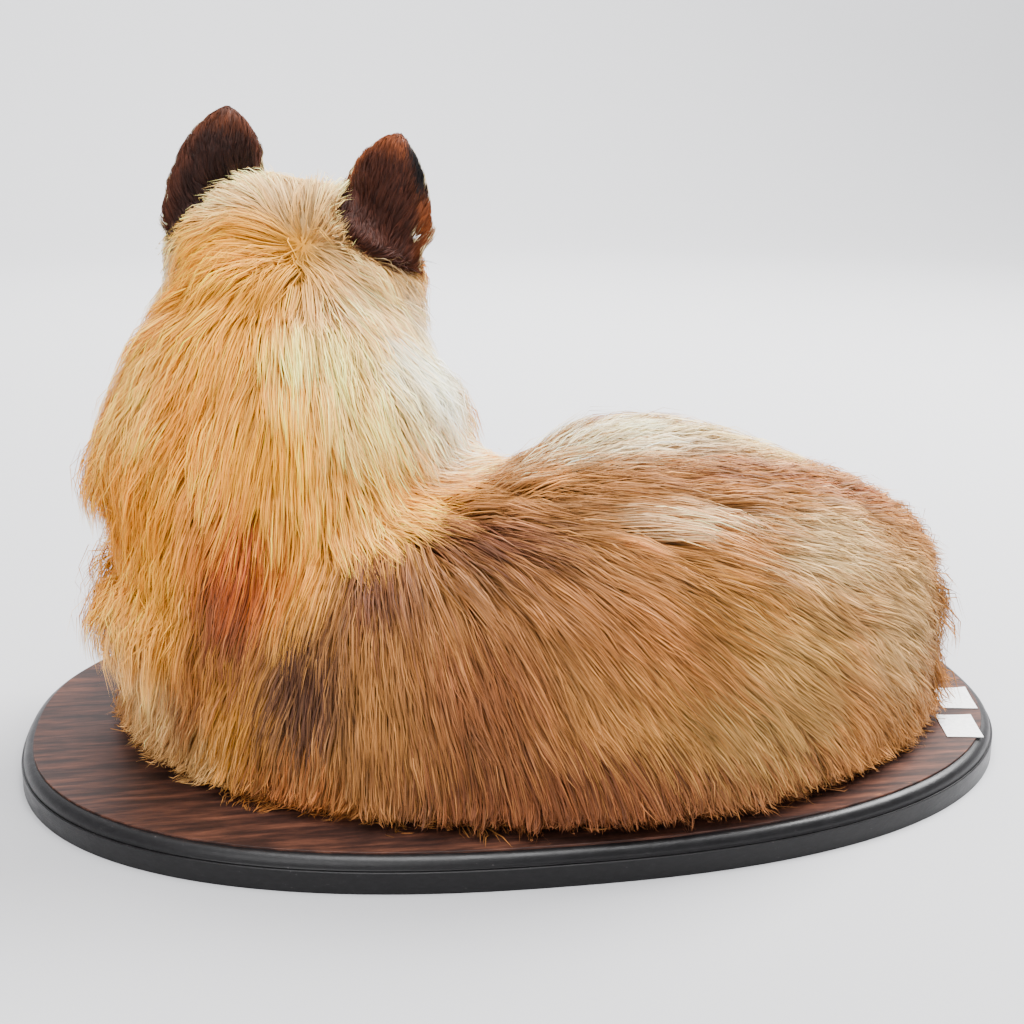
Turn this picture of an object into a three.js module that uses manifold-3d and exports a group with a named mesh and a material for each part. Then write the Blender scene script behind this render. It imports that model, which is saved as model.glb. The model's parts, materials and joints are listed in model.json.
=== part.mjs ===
// A mounted red fox, life size, curled on an oval wooden plaque with its head raised and turned over
// its right side. Millimetres, +Z up. The origin is the middle of the plaque's underside, X runs along
// the plaque, and +Y is the front, the side that the face looks to. The fox's solids reach out to the
// tips of its coat.
import * as THREE from "three";
import { mergeVertices } from "three/addons/utils/BufferGeometryUtils.js";
import Module from "manifold-3d";

const wasm = await Module();
wasm.setup();

// ---- Driving sizes ----

const gap = 0.3; // between solids that touch
const plaque = { halfLength: 300, halfDepth: 205, height: 19, corner: 2.35, steps: 64 };
const edge = { flat: 12.2, step: 1.4, round: 6 }; // of the plaque's moulded side, from the bottom up
const veneer = { inset: 7.6, thickness: 0.8 };
const label = { width: 21.5, length: 32, thickness: 0.5, turn: -10.6, places: [[259, -88], [274, -47]] };
const topOfBase = plaque.height + gap + veneer.thickness;

// The back bends round an oval; the angles run from the chest, past the near side, to the rump.
const backBend = { x: 22, y: 28, halfLength: 172, halfDepth: 116, fromAngle: 152, toAngle: 364 };
const trunkLevel = 92; // height of the trunk's widest line
const headPose = { x: -124, y: 8, z: 303, turn: -18, nod: -6, tilt: 8 };
const eye = { radius: 7.6, x: 25.5, y: 47.5, z: 3.2 };
const ear = { height: 77, halfWidth: 34, cup: 20, wall: 5, y: -4, z: -5, rake: 5 };
// How far out each ear stands, and its lean and turn outward in degrees; the two aren't set alike.
const earSet = { left: { x: 47, lean: 1, open: 22 }, right: { x: 43, lean: 6, open: 6 } };
const noseSize = { halfWidth: 9.5, halfLength: 8, halfHeight: 7.5, y: 119, z: -6 };

// ---- Curves and sections ----

const radians = THREE.MathUtils.degToRad;
const vector = (place) => new THREE.Vector3(...place);

// The value at u on a smooth curve through [u, value] pairs.
function along(pairs, u) {
  if (typeof pairs === "number") return pairs;
  const last = pairs.length - 1;
  let i = 0;
  while (i < last - 1 && u > pairs[i + 1][0]) i += 1;
  const rise = (a, b) => (pairs[b][1] - pairs[a][1]) / (pairs[b][0] - pairs[a][0]);
  const step = pairs[i + 1][0] - pairs[i][0];
  const t = THREE.MathUtils.clamp((u - pairs[i][0]) / step, 0, 1);
  const slopeIn = rise(Math.max(i - 1, 0), i + 1) * step;
  const slopeOut = rise(i, Math.min(i + 2, last)) * step;
  const [from, to] = [pairs[i][1], pairs[i + 1][1]];
  return (
    (2 * t ** 3 - 3 * t ** 2 + 1) * from +
    (t ** 3 - 2 * t ** 2 + t) * slopeIn +
    (3 * t ** 2 - 2 * t ** 3) * to +
    (t ** 3 - t ** 2) * slopeOut
  );
}

const smoothLine = (places) => new THREE.CatmullRomCurve3(places.map(vector), false, "centripetal");
const power = (value, exponent) => Math.sign(value) * Math.abs(value) ** exponent;

// A closed surface from rings of equal length: quads between rings, and a fan at each end.
function closedSleeve(rings, firstTip, lastTip) {
  const sides = rings[0].length;
  const points = [...rings.flat(), firstTip, lastTip];
  const first = points.length - 2;
  const last = points.length - 1;
  const faces = [];
  for (let r = 0; r < rings.length - 1; r += 1) {
    for (let s = 0; s < sides; s += 1) {
      const [a, b] = [r * sides + s, r * sides + ((s + 1) % sides)];
      faces.push(a, b, b + sides, a, b + sides, a + sides);
    }
  }
  const lastRing = (rings.length - 1) * sides;
  for (let s = 0; s < sides; s += 1) {
    const next = (s + 1) % sides;
    faces.push(first, next, s, last, lastRing + s, lastRing + next);
  }
  const geometry = new THREE.BufferGeometry().setFromPoints(points);
  return geometry.setIndex(faces);
}

// Where the rings of a length go, as distances: evenly along it, and closer together over a round end.
function ringPlaces(start, end, roundStart, roundEnd, count) {
  const angles = [24, 52];
  const places = roundStart > 0 ? angles.map((a) => start + roundStart * (1 - Math.cos(radians(a)))) : [];
  for (let i = 0; i <= count; i += 1) {
    places.push(THREE.MathUtils.lerp(start + roundStart, end - roundEnd, i / count));
  }
  if (roundEnd > 0) {
    angles.reverse().forEach((a) => places.push(end - roundEnd * (1 - Math.cos(radians(a)))));
  }
  return places;
}

// The share of the full section at a distance into a round end.
const roundShare = (distance, length) =>
  distance < length ? Math.sqrt(Math.max(0, 1 - (1 - distance / length) ** 2)) : 1;

// A limb or trunk as a sleeve of rounded sections along its line. `sky` is the way its back faces, and
// its sizes are pairs along the line, or plain numbers; `splay` spreads its foot. `grow` makes it fatter.
function limb(part, grow = 0) {
  const { line, sky, rings = 12, sides = 16, roundStart = 0, roundEnd = 0 } = part;
  const length = line.getLength();
  const places = ringPlaces(0, length, roundStart, roundEnd, rings);
  const back = vector(sky).normalize();
  const made = places.map((distance) => {
    const u = distance / length;
    const centre = line.getPointAt(u);
    const forward = line.getTangentAt(u);
    const side = new THREE.Vector3().crossVectors(forward, back).normalize();
    const upward = new THREE.Vector3().crossVectors(side, forward);
    const roll = radians(along(part.roll ?? 0, u));
    side.applyAxisAngle(forward, roll);
    upward.applyAxisAngle(forward, roll);
    const splay = along(part.splay ?? 0, u);
    const share = Math.min(roundShare(distance, roundStart), roundShare(length - distance, roundEnd));
    const outer = along(part.wide, u) * share + grow;
    const inner = along(part.inner ?? part.wide, u) * share + grow;
    const up = along(part.up, u) * share + grow;
    const down = along(part.down, u) * share + grow;
    const boxyUp = 2 / along(part.boxyUp ?? part.boxy ?? 2, u);
    const boxyDown = 2 / along(part.boxy ?? 2, u);
    return Array.from({ length: sides }, (_, i) => {
      const angle = (2 * Math.PI * i) / sides;
      const [c, s] = [Math.cos(angle), Math.sin(angle)];
      const boxy = s > 0 ? boxyUp : boxyDown;
      const spread = s > 0 ? 1 : 1 + splay * s * s;
      return centre
        .clone()
        .addScaledVector(side, power(c, boxy) * spread * (c > 0 ? outer : inner))
        .addScaledVector(upward, power(s, boxy) * (s > 0 ? up : down));
    });
  });
  const nudge = (u, distance) => line.getPointAt(u).addScaledVector(line.getTangentAt(u), distance);
  return closedSleeve(made, nudge(0, -grow), nudge(1, grow));
}

// ---- Solids ----

function solidOf(geometry, matrix = new THREE.Matrix4()) {
  const plain = geometry.clone().applyMatrix4(matrix);
  plain.deleteAttribute("normal");
  plain.deleteAttribute("uv");
  const merged = mergeVertices(plain, 1e-4);
  const triVerts = new Uint32Array(merged.index.array);
  const vertProperties = merged.attributes.position.array;
  const solid = new wasm.Manifold(new wasm.Mesh({ numProp: 3, vertProperties, triVerts }));
  if (solid.volume() > 0) return solid;
  for (let i = 0; i < triVerts.length; i += 3) {
    [triVerts[i + 1], triVerts[i + 2]] = [triVerts[i + 2], triVerts[i + 1]];
  }
  return new wasm.Manifold(new wasm.Mesh({ numProp: 3, vertProperties, triVerts }));
}

function geometryOf(solid) {
  const mesh = solid.getMesh();
  const places = new Float32Array(mesh.numVert * 3);
  for (let i = 0; i < mesh.numVert; i += 1) {
    places.set(mesh.vertProperties.subarray(i * mesh.numProp, i * mesh.numProp + 3), i * 3);
  }
  const geometry = new THREE.BufferGeometry();
  geometry.setAttribute("position", new THREE.BufferAttribute(places, 3));
  geometry.setIndex(new THREE.BufferAttribute(mesh.triVerts, 1));
  geometry.computeVertexNormals();
  return geometry;
}

const biggest = (solid) => solid.decompose().reduce((a, b) => (b.volume() > a.volume() ? b : a));
const joined = (solids) => solids.reduce((all, next) => all.add(next));
const without = (solid, cutters) => biggest(cutters.reduce((left, cutter) => left.subtract(cutter), solid));

// Everything on the side of a plane that its normal points to.
function halfSpace(point, normal, shift) {
  const reach = 1500;
  const facing = vector(normal).normalize();
  const turn = new THREE.Quaternion().setFromUnitVectors(new THREE.Vector3(0, 0, 1), facing);
  const place = vector(point).addScaledVector(facing, shift + reach / 2);
  const matrix = new THREE.Matrix4().compose(place, turn, new THREE.Vector3(1, 1, 1));
  return solidOf(new THREE.BoxGeometry(reach, reach, reach), matrix);
}

// The two pieces that a thin cut leaves: the one its normal points to, then the other.
const parted = (solid, point, normal) => [
  biggest(solid.intersect(halfSpace(point, normal, gap / 2))),
  biggest(solid.subtract(halfSpace(point, normal, -gap / 2))),
];

// An ellipsoid with its half sizes and place.
function ball(sizes, place, detail = 10) {
  const geometry = new THREE.SphereGeometry(1, detail, Math.max(4, Math.round(detail * 0.65)));
  return geometry.rotateX(Math.PI / 2).scale(...sizes).translate(...place);
}

// ---- Trunk and neck ----

function backLine() {
  const { x, y, halfLength, halfDepth, fromAngle, toAngle } = backBend;
  const steps = 12;
  const places = Array.from({ length: steps + 1 }, (_, i) => {
    const angle = radians(THREE.MathUtils.lerp(fromAngle, toAngle, i / steps));
    return [x + halfLength * Math.cos(angle), y + halfDepth * Math.sin(angle), trunkLevel];
  });
  return smoothLine(places);
}

// `wide` is the outer half of the bend, which is the fox's back and left flank.
const trunkShape = {
  line: backLine(),
  sky: [0, 0, 1],
  rings: 16,
  sides: 20,
  roundStart: 64,
  roundEnd: 60,
  wide: [[0, 90], [0.1, 97], [0.22, 99], [0.4, 100], [0.6, 108], [0.78, 98], [0.9, 88], [1, 84]],
  inner: [[0, 68], [0.15, 66], [0.35, 88], [0.5, 96], [0.65, 92], [0.85, 68], [1, 66]],
  up: [[0, 84], [0.22, 98], [0.4, 97], [0.48, 107], [0.57, 127], [0.68, 124], [0.8, 99], [0.9, 78], [1, 64]],
  down: 92,
  splay: [[0, 0.1], [0.3, 0.05], [1, 0.05]],
  roll: [[0, 0], [0.4, -6], [0.8, -6], [1, 0]],
  boxyUp: 2.1,
  boxy: 4.5,
};

const neckShape = {
  line: smoothLine([[-146, -22, 70], [-142, -26, 130], [-136, -24, 190], [-136, -14, 245], [-127, 0, 305]]),
  sky: [0, -1, 0],
  rings: 9,
  sides: 20,
  roundStart: 40,
  roundEnd: 30,
  wide: [[0, 90], [0.29, 96], [0.5, 109], [0.62, 107], [0.78, 90], [0.92, 79], [1, 74]],
  inner: [[0, 92], [0.29, 98], [0.48, 113], [0.6, 109], [0.78, 85], [0.92, 76], [1, 74]],
  up: [[0, 110], [0.3, 104], [0.55, 90], [0.8, 72], [1, 60]],
  down: [[0, 108], [0.3, 114], [0.55, 106], [0.8, 86], [1, 62]],
  boxy: 2.2,
};

// ---- Head, in its own frame: +Y to the muzzle, +X to the fox's right ----

const headShape = {
  line: smoothLine([[0, -52, -8], [0, -10, -12], [0, 30, -14], [0, 60, -13], [0, 92, -11], [0, 122, -10]]),
  sky: [0, 0, 1],
  rings: 16,
  sides: 20,
  roundStart: 34,
  roundEnd: 9,
  wide: [
    [0, 66], [0.12, 74], [0.26, 80], [0.37, 76], [0.47, 60],
    [0.56, 42], [0.65, 29], [0.75, 22], [0.87, 18], [1, 14],
  ],
  up: [
    [0, 46], [0.15, 51], [0.27, 52], [0.38, 49], [0.49, 41],
    [0.58, 32], [0.66, 23], [0.76, 18], [0.88, 14], [1, 11],
  ],
  down: [[0, 52], [0.2, 52], [0.35, 46], [0.5, 35], [0.62, 24], [0.75, 20], [0.88, 16.5], [1, 11]],
  boxyUp: [[0, 2], [0.3, 1.85], [0.6, 1.95], [0.8, 2.4], [1, 2.4]],
  boxy: 2.2,
};

const headFrame = new THREE.Group();
headFrame.position.set(headPose.x, headPose.y, headPose.z);
headFrame.rotation.set(radians(headPose.nod), radians(headPose.tilt), radians(headPose.turn), "ZXY");
headFrame.updateMatrixWorld();
const fromHead = headFrame.matrixWorld;
const toHead = fromHead.clone().invert();

// An upright cupped ear: a crescent section that narrows to the tip, opening to +Y.
function earShape() {
  const halfPoints = 4;
  const heights = [0, 0.16, 0.32, 0.48, 0.64, 0.78, 0.89, 0.96];
  const rings = heights.map((t) => {
    const halfWidth = ear.halfWidth * (1 - t ** 2.3) ** 0.72;
    const cup = ear.cup * (1 - t) ** 0.55;
    const wall = Math.min(ear.wall, halfWidth * 0.6);
    const bow = (s, depth) => -depth * (1 - s * s);
    const across = Array.from({ length: 2 * halfPoints + 1 }, (_, i) => i / halfPoints - 1);
    const outside = across.map((s) => [halfWidth * s, bow(s, cup), t * ear.height]);
    const inside = across.map((s) => [
      (halfWidth - wall * 0.4) * -s,
      bow(s, cup - wall) + wall * 0.5,
      t * ear.height,
    ]);
    return [...outside, ...inside].map(vector);
  });
  const base = new THREE.Vector3(0, -ear.cup / 2, 0);
  return closedSleeve(rings, base, new THREE.Vector3(0, 0, ear.height));
}

function earPlace(side, { x, lean, open }) {
  const turn = new THREE.Euler(radians(ear.rake), radians(side * lean), radians(-side * open), "XYZ");
  const place = new THREE.Vector3(side * x, ear.y, ear.z);
  const turned = new THREE.Quaternion().setFromEuler(turn);
  return new THREE.Matrix4().compose(place, turned, new THREE.Vector3(1, 1, 1));
}

const eyeBall = (side, grow) =>
  solidOf(ball(Array(3).fill(eye.radius + grow), [side * eye.x, eye.y, eye.z], 10));

const nosePad = (grow) => {
  const { halfWidth, halfLength, halfHeight, y, z } = noseSize;
  return solidOf(ball([halfWidth + grow, halfLength + grow, halfHeight + grow], [0, y, z], 10));
};

// ---- Legs ----

// A paw that lies flat, seen from its wrist: +Y to the toes, with its sole near z = 0.
function paw({ halfWidth, length, height }, grow) {
  const pad = [halfWidth + grow, length * 0.52 + grow, height * 0.56 + grow];
  const pieces = [ball(pad, [0, length * 0.34, height * 0.5], 8)];
  [-1, -0.36, 0.36, 1].forEach((across) => {
    const x = across * halfWidth * 0.72;
    const y = length * (0.8 - 0.1 * Math.abs(across));
    const toe = [halfWidth * 0.34 + grow, length * 0.3 + grow, height * 0.42 + grow];
    pieces.push(ball(toe, [x, y, height * 0.4], 6));
    const claw = new THREE.ConeGeometry(1.8 + grow, 9 + 2 * grow, 4);
    pieces.push(claw.rotateX(radians(-12)).translate(x, y + length * 0.3 + 1, height * 0.3));
  });
  return pieces;
}

// Each leg's lengths from the body outward, as [from, to, thickness along it], and its paw, which lies
// at the wrist and points `heading` degrees from +Y towards -X.
const legs = {
  foreleg_left: {
    lengths: [
      [[-178, -10, 96], [-190, 36, 56], [[0, 46], [1, 32]]],
      [[-190, 34, 54], [-160, 136, 36], [[0, 31], [0.5, 24], [1, 20]]],
    ],
    paw: { halfWidth: 19, length: 52, height: 27, heading: -14, wrist: [-159, 128] },
  },
  foreleg_right: {
    lengths: [
      [[-108, -10, 96], [-90, 36, 56], [[0, 46], [1, 32]]],
      [[-90, 34, 54], [-103, 136, 36], [[0, 31], [0.5, 24], [1, 20]]],
    ],
    paw: { halfWidth: 19, length: 52, height: 27, heading: 6, wrist: [-103, 128] },
  },
  hindleg_right: {
    lengths: [
      [[170, 6, 92], [92, 50, 72], [[0, 76], [0.5, 68], [1, 46]]],
      [[90, 58, 66], [152, 98, 44], [[0, 36], [0.5, 28], [1, 21]]],
      [[152, 98, 44], [74, 102, 36], [[0, 20], [0.5, 18], [1, 17]]],
    ],
    paw: { halfWidth: 18, length: 52, height: 26, heading: 94, wrist: [80, 102] },
  },
  hindleg_left: {
    lengths: [[[110, 20, 52], [34, 71, 35], [[0, 34], [0.5, 22], [1, 17]]]],
    paw: { halfWidth: 17, length: 48, height: 24, heading: 84, wrist: [38, 71] },
  },
};

function legSolid(leg, grow = 0) {
  const lengths = leg.lengths.map(([from, to, wide]) => {
    const line = new THREE.LineCurve3(vector(from), vector(to));
    const rounding = (radius) => Math.min(radius * 0.8, line.getLength() * 0.45);
    const ends = { roundStart: rounding(wide[0][1]), roundEnd: rounding(wide.at(-1)[1]) };
    const round = { wide, up: wide, down: wide, ...ends };
    return solidOf(limb({ line, sky: [0, 0, 1], rings: 1, sides: 10, ...round }, grow));
  });
  const { heading, wrist } = leg.paw;
  const place = new THREE.Matrix4().makeRotationZ(radians(heading));
  place.setPosition(wrist[0], wrist[1], topOfBase - 1);
  return joined([...lengths, ...paw(leg.paw, grow).map((piece) => solidOf(piece, place))]);
}

// ---- Tail ----

const tailShape = {
  line: smoothLine([
    [192, 4, 98], [208, 48, 82], [208, 92, 69], [176, 126, 64], [120, 142, 63],
    [50, 149, 63], [-20, 146, 58], [-66, 136, 50],
  ]),
  sky: [0, 0, 1],
  rings: 11,
  sides: 14,
  roundStart: 16,
  roundEnd: 30,
  wide: [[0, 38], [0.2, 36], [0.45, 42], [0.7, 43], [0.9, 32], [1, 24]],
  up: [[0, 42], [0.2, 39], [0.45, 46], [0.7, 46], [0.9, 34], [1, 24]],
  down: 50,
  boxy: 2.1,
};
const tailCuts = [0.4, 0.76]; // where its three lengths are parted, along its line

// ---- Base ----

// Half the plaque's outline at an angle, drawn in by `inset`.
function plaquePoint(angle, inset, z) {
  const [c, s] = [Math.cos(angle), Math.sin(angle)];
  const x = power(c, 2 / plaque.corner) * (plaque.halfLength - inset);
  const y = power(s, 2 / plaque.corner) * (plaque.halfDepth - inset);
  return new THREE.Vector3(x, y, z);
}

// Rings of the plaque's outline at [inset, height] pairs, closed at the bottom and top.
function plaqueSleeve(profile) {
  const angles = Array.from({ length: plaque.steps }, (_, i) => (2 * Math.PI * (i + 0.5)) / plaque.steps);
  const rings = profile.map(([inset, z]) => angles.map((angle) => plaquePoint(angle, inset, z)));
  const tip = (end) => new THREE.Vector3(0, 0, profile.at(end)[1]);
  return closedSleeve(rings, tip(0), tip(-1));
}

function boardProfile() {
  const shoulder = edge.flat + 0.6;
  const quarter = [0, 30, 60, 90].map((degrees) => [
    edge.step + edge.round * (1 - Math.cos(radians(degrees))),
    shoulder + (plaque.height - shoulder) * Math.sin(radians(degrees)),
  ]);
  return [[0, 0], [0, edge.flat], ...quarter];
}

function labelBody([x, y], i) {
  const mesh = new THREE.BoxGeometry(label.width, label.length, label.thickness);
  const body = new THREE.Mesh(mesh, paper);
  body.name = `base_label_${i + 1}`;
  body.position.set(x, y, topOfBase + gap + label.thickness / 2);
  body.rotation.z = radians(label.turn);
  return body;
}

// ---- Materials ----

const finish = (color, roughness, metalness = 0) =>
  new THREE.MeshStandardMaterial({ color, roughness, metalness });
const redCoat = finish("#c07a3c", 0.9);
const flankCoat = finish("#a97a4e", 0.9);
const paleCoat = finish("#e9d7b0", 0.9);
const darkCoat = finish("#3a2019", 0.9);
const glass = finish("#2a1608", 0.1);
const leather = finish("#17120f", 0.5);
const blackPaint = finish("#1c1b1b", 0.4);
const wood = finish("#4a2a1f", 0.45);
const paper = finish("#ececec", 0.8);

// ---- Assembly ----

const fox = new THREE.Group();
fox.add(headFrame);

function addPiece(name, geometry, material, parent = fox) {
  const mesh = new THREE.Mesh(geometry, material);
  mesh.name = name;
  parent.add(mesh);
}

const sheetBottom = plaque.height + gap;
const sheet = plaqueSleeve([[veneer.inset, sheetBottom], [veneer.inset, topOfBase]]);
addPiece("base_board", plaqueSleeve(boardProfile()), blackPaint);
addPiece("base_veneer", sheet, wood);
label.places.forEach((place, i) => fox.add(labelBody(place, i)));

// Trunk, neck and head are one form, parted by two thin cuts.
const body = (grow) =>
  joined([
    solidOf(limb(trunkShape, grow)),
    solidOf(limb(neckShape, grow)),
    solidOf(limb(headShape, grow), fromHead),
  ]);
const floor = halfSpace([0, 0, topOfBase + gap], [0, 0, -1], 0);
const nape = { point: [-125, -10, 268], normal: [0.1, 0.34, 0.93] };
const collar = { point: [-15, -40, 196], normal: [-0.5, 0.08, 0.86] };
const [headAndNeck, trunk] = parted(body(0), collar.point, collar.normal);
const [headSolid, neck] = parted(headAndNeck, nape.point, nape.normal);
const bodyGrown = body(gap);
addPiece("trunk", geometryOf(without(trunk, [floor])), flankCoat);
addPiece("neck", geometryOf(neck), redCoat);

const pockets = joined([eyeBall(-1, gap), eyeBall(1, gap), nosePad(gap)]).transform(fromHead.elements);
const head = headSolid.subtract(pockets);
const headLocal = (solid) => geometryOf(solid).applyMatrix4(toHead);
addPiece("head", headLocal(biggest(head)), redCoat, headFrame);
for (const [side, name] of [[-1, "left"], [1, "right"]]) {
  const whole = solidOf(earShape(), fromHead.clone().multiply(earPlace(side, earSet[name])));
  addPiece(`ear_${name}`, headLocal(without(whole, [bodyGrown])), darkCoat, headFrame);
  addPiece(`eye_${name}`, geometryOf(eyeBall(side, 0)), glass, headFrame);
}
addPiece("nose", geometryOf(nosePad(0)), leather, headFrame);

// Each leg gives way to the trunk and to the legs before it, and the tail gives way to them all.
const taken = [floor, bodyGrown];
for (const [name, leg] of Object.entries(legs)) {
  const whole = without(legSolid(leg), taken);
  taken.push(legSolid(leg, gap));
  const [x, y] = leg.paw.wrist;
  const heading = radians(leg.paw.heading);
  const toToes = [-Math.sin(heading), Math.cos(heading), 0];
  const [pawPart, legPart] = parted(whole, [x, y, topOfBase], toToes);
  addPiece(name, geometryOf(legPart), darkCoat);
  addPiece(name.replace("leg", "paw"), geometryOf(pawPart), darkCoat);
}

let tailLeft = without(solidOf(limb(tailShape)), taken);
const tailNames = ["tail_tip", "tail_brush", "tail_root"];
[...tailCuts].reverse().forEach((u, i) => {
  const line = tailShape.line;
  const [tipward, rootward] = parted(tailLeft, line.getPointAt(u).toArray(), line.getTangentAt(u).toArray());
  addPiece(tailNames[i], geometryOf(tipward), i === 0 ? paleCoat : redCoat);
  tailLeft = rootward;
});
addPiece(tailNames[2], geometryOf(tailLeft), redCoat);

export default fox;
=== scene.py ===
import json
import math

import bpy
import numpy as np
from mathutils import Euler, Matrix, Vector
from mathutils.bvhtree import BVHTree
from mathutils.kdtree import KDTree

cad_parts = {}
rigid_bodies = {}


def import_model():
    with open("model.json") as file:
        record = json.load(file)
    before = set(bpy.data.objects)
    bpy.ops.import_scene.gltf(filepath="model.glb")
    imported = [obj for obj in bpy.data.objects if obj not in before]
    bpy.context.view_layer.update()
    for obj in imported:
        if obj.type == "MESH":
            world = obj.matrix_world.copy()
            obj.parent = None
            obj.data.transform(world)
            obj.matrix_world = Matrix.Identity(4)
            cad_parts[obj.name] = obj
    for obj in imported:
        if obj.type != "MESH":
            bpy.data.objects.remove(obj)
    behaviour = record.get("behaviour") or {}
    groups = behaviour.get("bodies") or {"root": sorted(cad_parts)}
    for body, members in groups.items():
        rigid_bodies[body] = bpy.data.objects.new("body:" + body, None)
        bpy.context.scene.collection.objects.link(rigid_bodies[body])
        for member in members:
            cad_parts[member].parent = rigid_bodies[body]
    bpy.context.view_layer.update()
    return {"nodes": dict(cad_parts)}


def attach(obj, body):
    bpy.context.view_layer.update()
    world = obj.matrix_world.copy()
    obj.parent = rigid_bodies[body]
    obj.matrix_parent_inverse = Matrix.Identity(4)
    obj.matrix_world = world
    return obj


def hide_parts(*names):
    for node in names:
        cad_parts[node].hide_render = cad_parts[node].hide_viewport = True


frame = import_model()
mm = 0.001
rng = np.random.default_rng(41)


# Small helpers

def linear(code):
    parts = [int(code[i:i + 2], 16) / 255 for i in (1, 3, 5)]
    return np.array([c / 12.92 if c < 0.04045 else ((c + 0.055) / 1.055) ** 2.4 for c in parts])


def rgba(code):
    return (*linear(code), 1.0)


def unit(v):
    return v / np.maximum(np.linalg.norm(v, axis=-1, keepdims=True), 1e-12)


def smooth(v):
    v = np.clip(v, 0, 1)
    return v * v * (3 - 2 * v)


def toward(old, new, share):
    return old * (1 - share) + new * share


def deselect():
    bpy.ops.object.select_all(action="DESELECT")


def makeActive(*pieces):
    deselect()
    for piece in pieces:
        piece.select_set(True)
    bpy.context.view_layer.objects.active = pieces[0]


def newMaterial(name, color, rough, **more):
    mat = bpy.data.materials.new(name)
    mat.use_nodes = True
    shader = mat.node_tree.nodes["Principled BSDF"]
    shader.inputs["Base Color"].default_value = rgba(color)
    shader.inputs["Roughness"].default_value = rough
    for socket, value in more.items():
        shader.inputs[socket.replace("_", " ")].default_value = value
    return mat, shader


def link(mat, source, target):
    mat.node_tree.links.new(source, target)


def addNode(mat, kind, **settings):
    node = mat.node_tree.nodes.new(kind)
    for key, value in settings.items():
        socket = key.replace("_", " ")
        if socket in node.inputs:
            node.inputs[socket].default_value = value
        else:
            setattr(node, key, value)
    return node


def objectPlace(mat, scale=(1, 1, 1), turn=(0, 0, 0)):
    place = addNode(mat, "ShaderNodeTexCoord")
    mapping = addNode(mat, "ShaderNodeMapping", Scale=scale, Rotation=turn)
    link(mat, place.outputs["Object"], mapping.inputs["Vector"])
    return mapping.outputs["Vector"]


def ramp(mat, source, stops):
    node = addNode(mat, "ShaderNodeValToRGB")
    for element, (at, code) in zip(node.color_ramp.elements, (stops[0], stops[-1])):
        element.position, element.color = at, rgba(code)
    for at, code in stops[1:-1]:
        node.color_ramp.elements.new(at).color = rgba(code)
    link(mat, source, node.inputs["Fac"])
    return node.outputs["Color"]


def noise(mat, vector, scale, detail=4.0, rough=0.55):
    node = addNode(mat, "ShaderNodeTexNoise", Scale=scale, Detail=detail, Roughness=rough)
    link(mat, vector, node.inputs["Vector"])
    return node.outputs["Fac"]


def mapRange(mat, source, **limits):
    node = addNode(mat, "ShaderNodeMapRange", **limits)
    link(mat, source, node.inputs["Value"])
    return node.outputs["Result"]


def colorMix(mat, share, first, second, kind="MIX"):
    node = addNode(mat, "ShaderNodeMix", data_type="RGBA", blend_type=kind)
    for source, target in ((share, node.inputs["Factor"]), (first, node.inputs[6]), (second, node.inputs[7])):
        if isinstance(source, bpy.types.NodeSocket):
            link(mat, source, target)
        else:
            target.default_value = source
    return node.outputs[2]


def bump(mat, shader, height, strength, distance):
    node = addNode(mat, "ShaderNodeBump", Strength=strength, Distance=distance)
    link(mat, height, node.inputs["Height"])
    link(mat, node.outputs["Normal"], shader.inputs["Normal"])


def finishPiece(piece, name, material, slotName, *nodes):
    piece.name = name
    piece.data.name = name
    piece.data.materials.clear()
    piece.data.materials.append(material)
    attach(piece, "root")
    if nodes:
        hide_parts(*nodes)
    return piece


def startEdit():
    bpy.ops.object.mode_set(mode="EDIT")
    bpy.ops.mesh.select_mode(type="FACE")


def endEdit(degrees=40):
    bpy.ops.mesh.select_all(action="SELECT")
    bpy.ops.mesh.normals_make_consistent(inside=False)
    bpy.ops.object.mode_set(mode="OBJECT")
    bpy.ops.object.shade_smooth_by_angle(angle=math.radians(degrees))


# Board, veneer and cards

board = {"halfLength": 300, "halfDepth": 205, "corner": 2.35, "steps": 240, "height": 19.0, "footEdge": 0.5,
         "flat": 12.2, "flatEdge": 0.4, "ledge": 0.5, "grooveDepth": 0.4, "grooveWidth": 0.3, "bead": 0.9,
         "beadEdge": 0.2, "round": 6.0, "rise": 6.0, "roundSteps": 8, "chipsFrom": -0.135, "chipsTo": -0.165}
veneer = {"inset": 7.6, "top": 20.1, "edge": 0.25, "sunk": 0.05}
cards = {"width": 21.5, "length": 32, "thick": 0.35, "over": 20.35, "turn": -10.6, "rise": 3,
         "base_label_1": {"x": 259, "y": -88, "curl": 0.8}, "base_label_2": {"x": 274, "y": -47, "curl": 1.3}}


def ovalFace(inset, z):
    deselect()
    bpy.ops.mesh.primitive_circle_add(vertices=board["steps"], radius=1, fill_type="NGON")
    piece = bpy.context.object
    power = 2 / board["corner"]
    for v in piece.data.vertices:
        c, s = v.co.x, v.co.y
        v.co.x = math.copysign(abs(c) ** power, c) * (board["halfLength"] - inset) * mm
        v.co.y = math.copysign(abs(s) ** power, s) * (board["halfDepth"] - inset) * mm
        v.co.z = z * mm
    startEdit()
    bpy.ops.mesh.select_all(action="SELECT")
    return piece


def stepIn(inward, upward):
    bpy.ops.mesh.inset(thickness=inward * mm, depth=upward * mm, use_even_offset=True)


def liftFace(height):
    bpy.ops.mesh.extrude_region_move(TRANSFORM_OT_translate={"value": (0, 0, height * mm)})


def closeFoot():
    bpy.ops.mesh.select_mode(type="EDGE")
    bpy.ops.mesh.select_all(action="DESELECT")
    bpy.ops.mesh.select_non_manifold()
    bpy.ops.mesh.edge_face_add()


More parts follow.
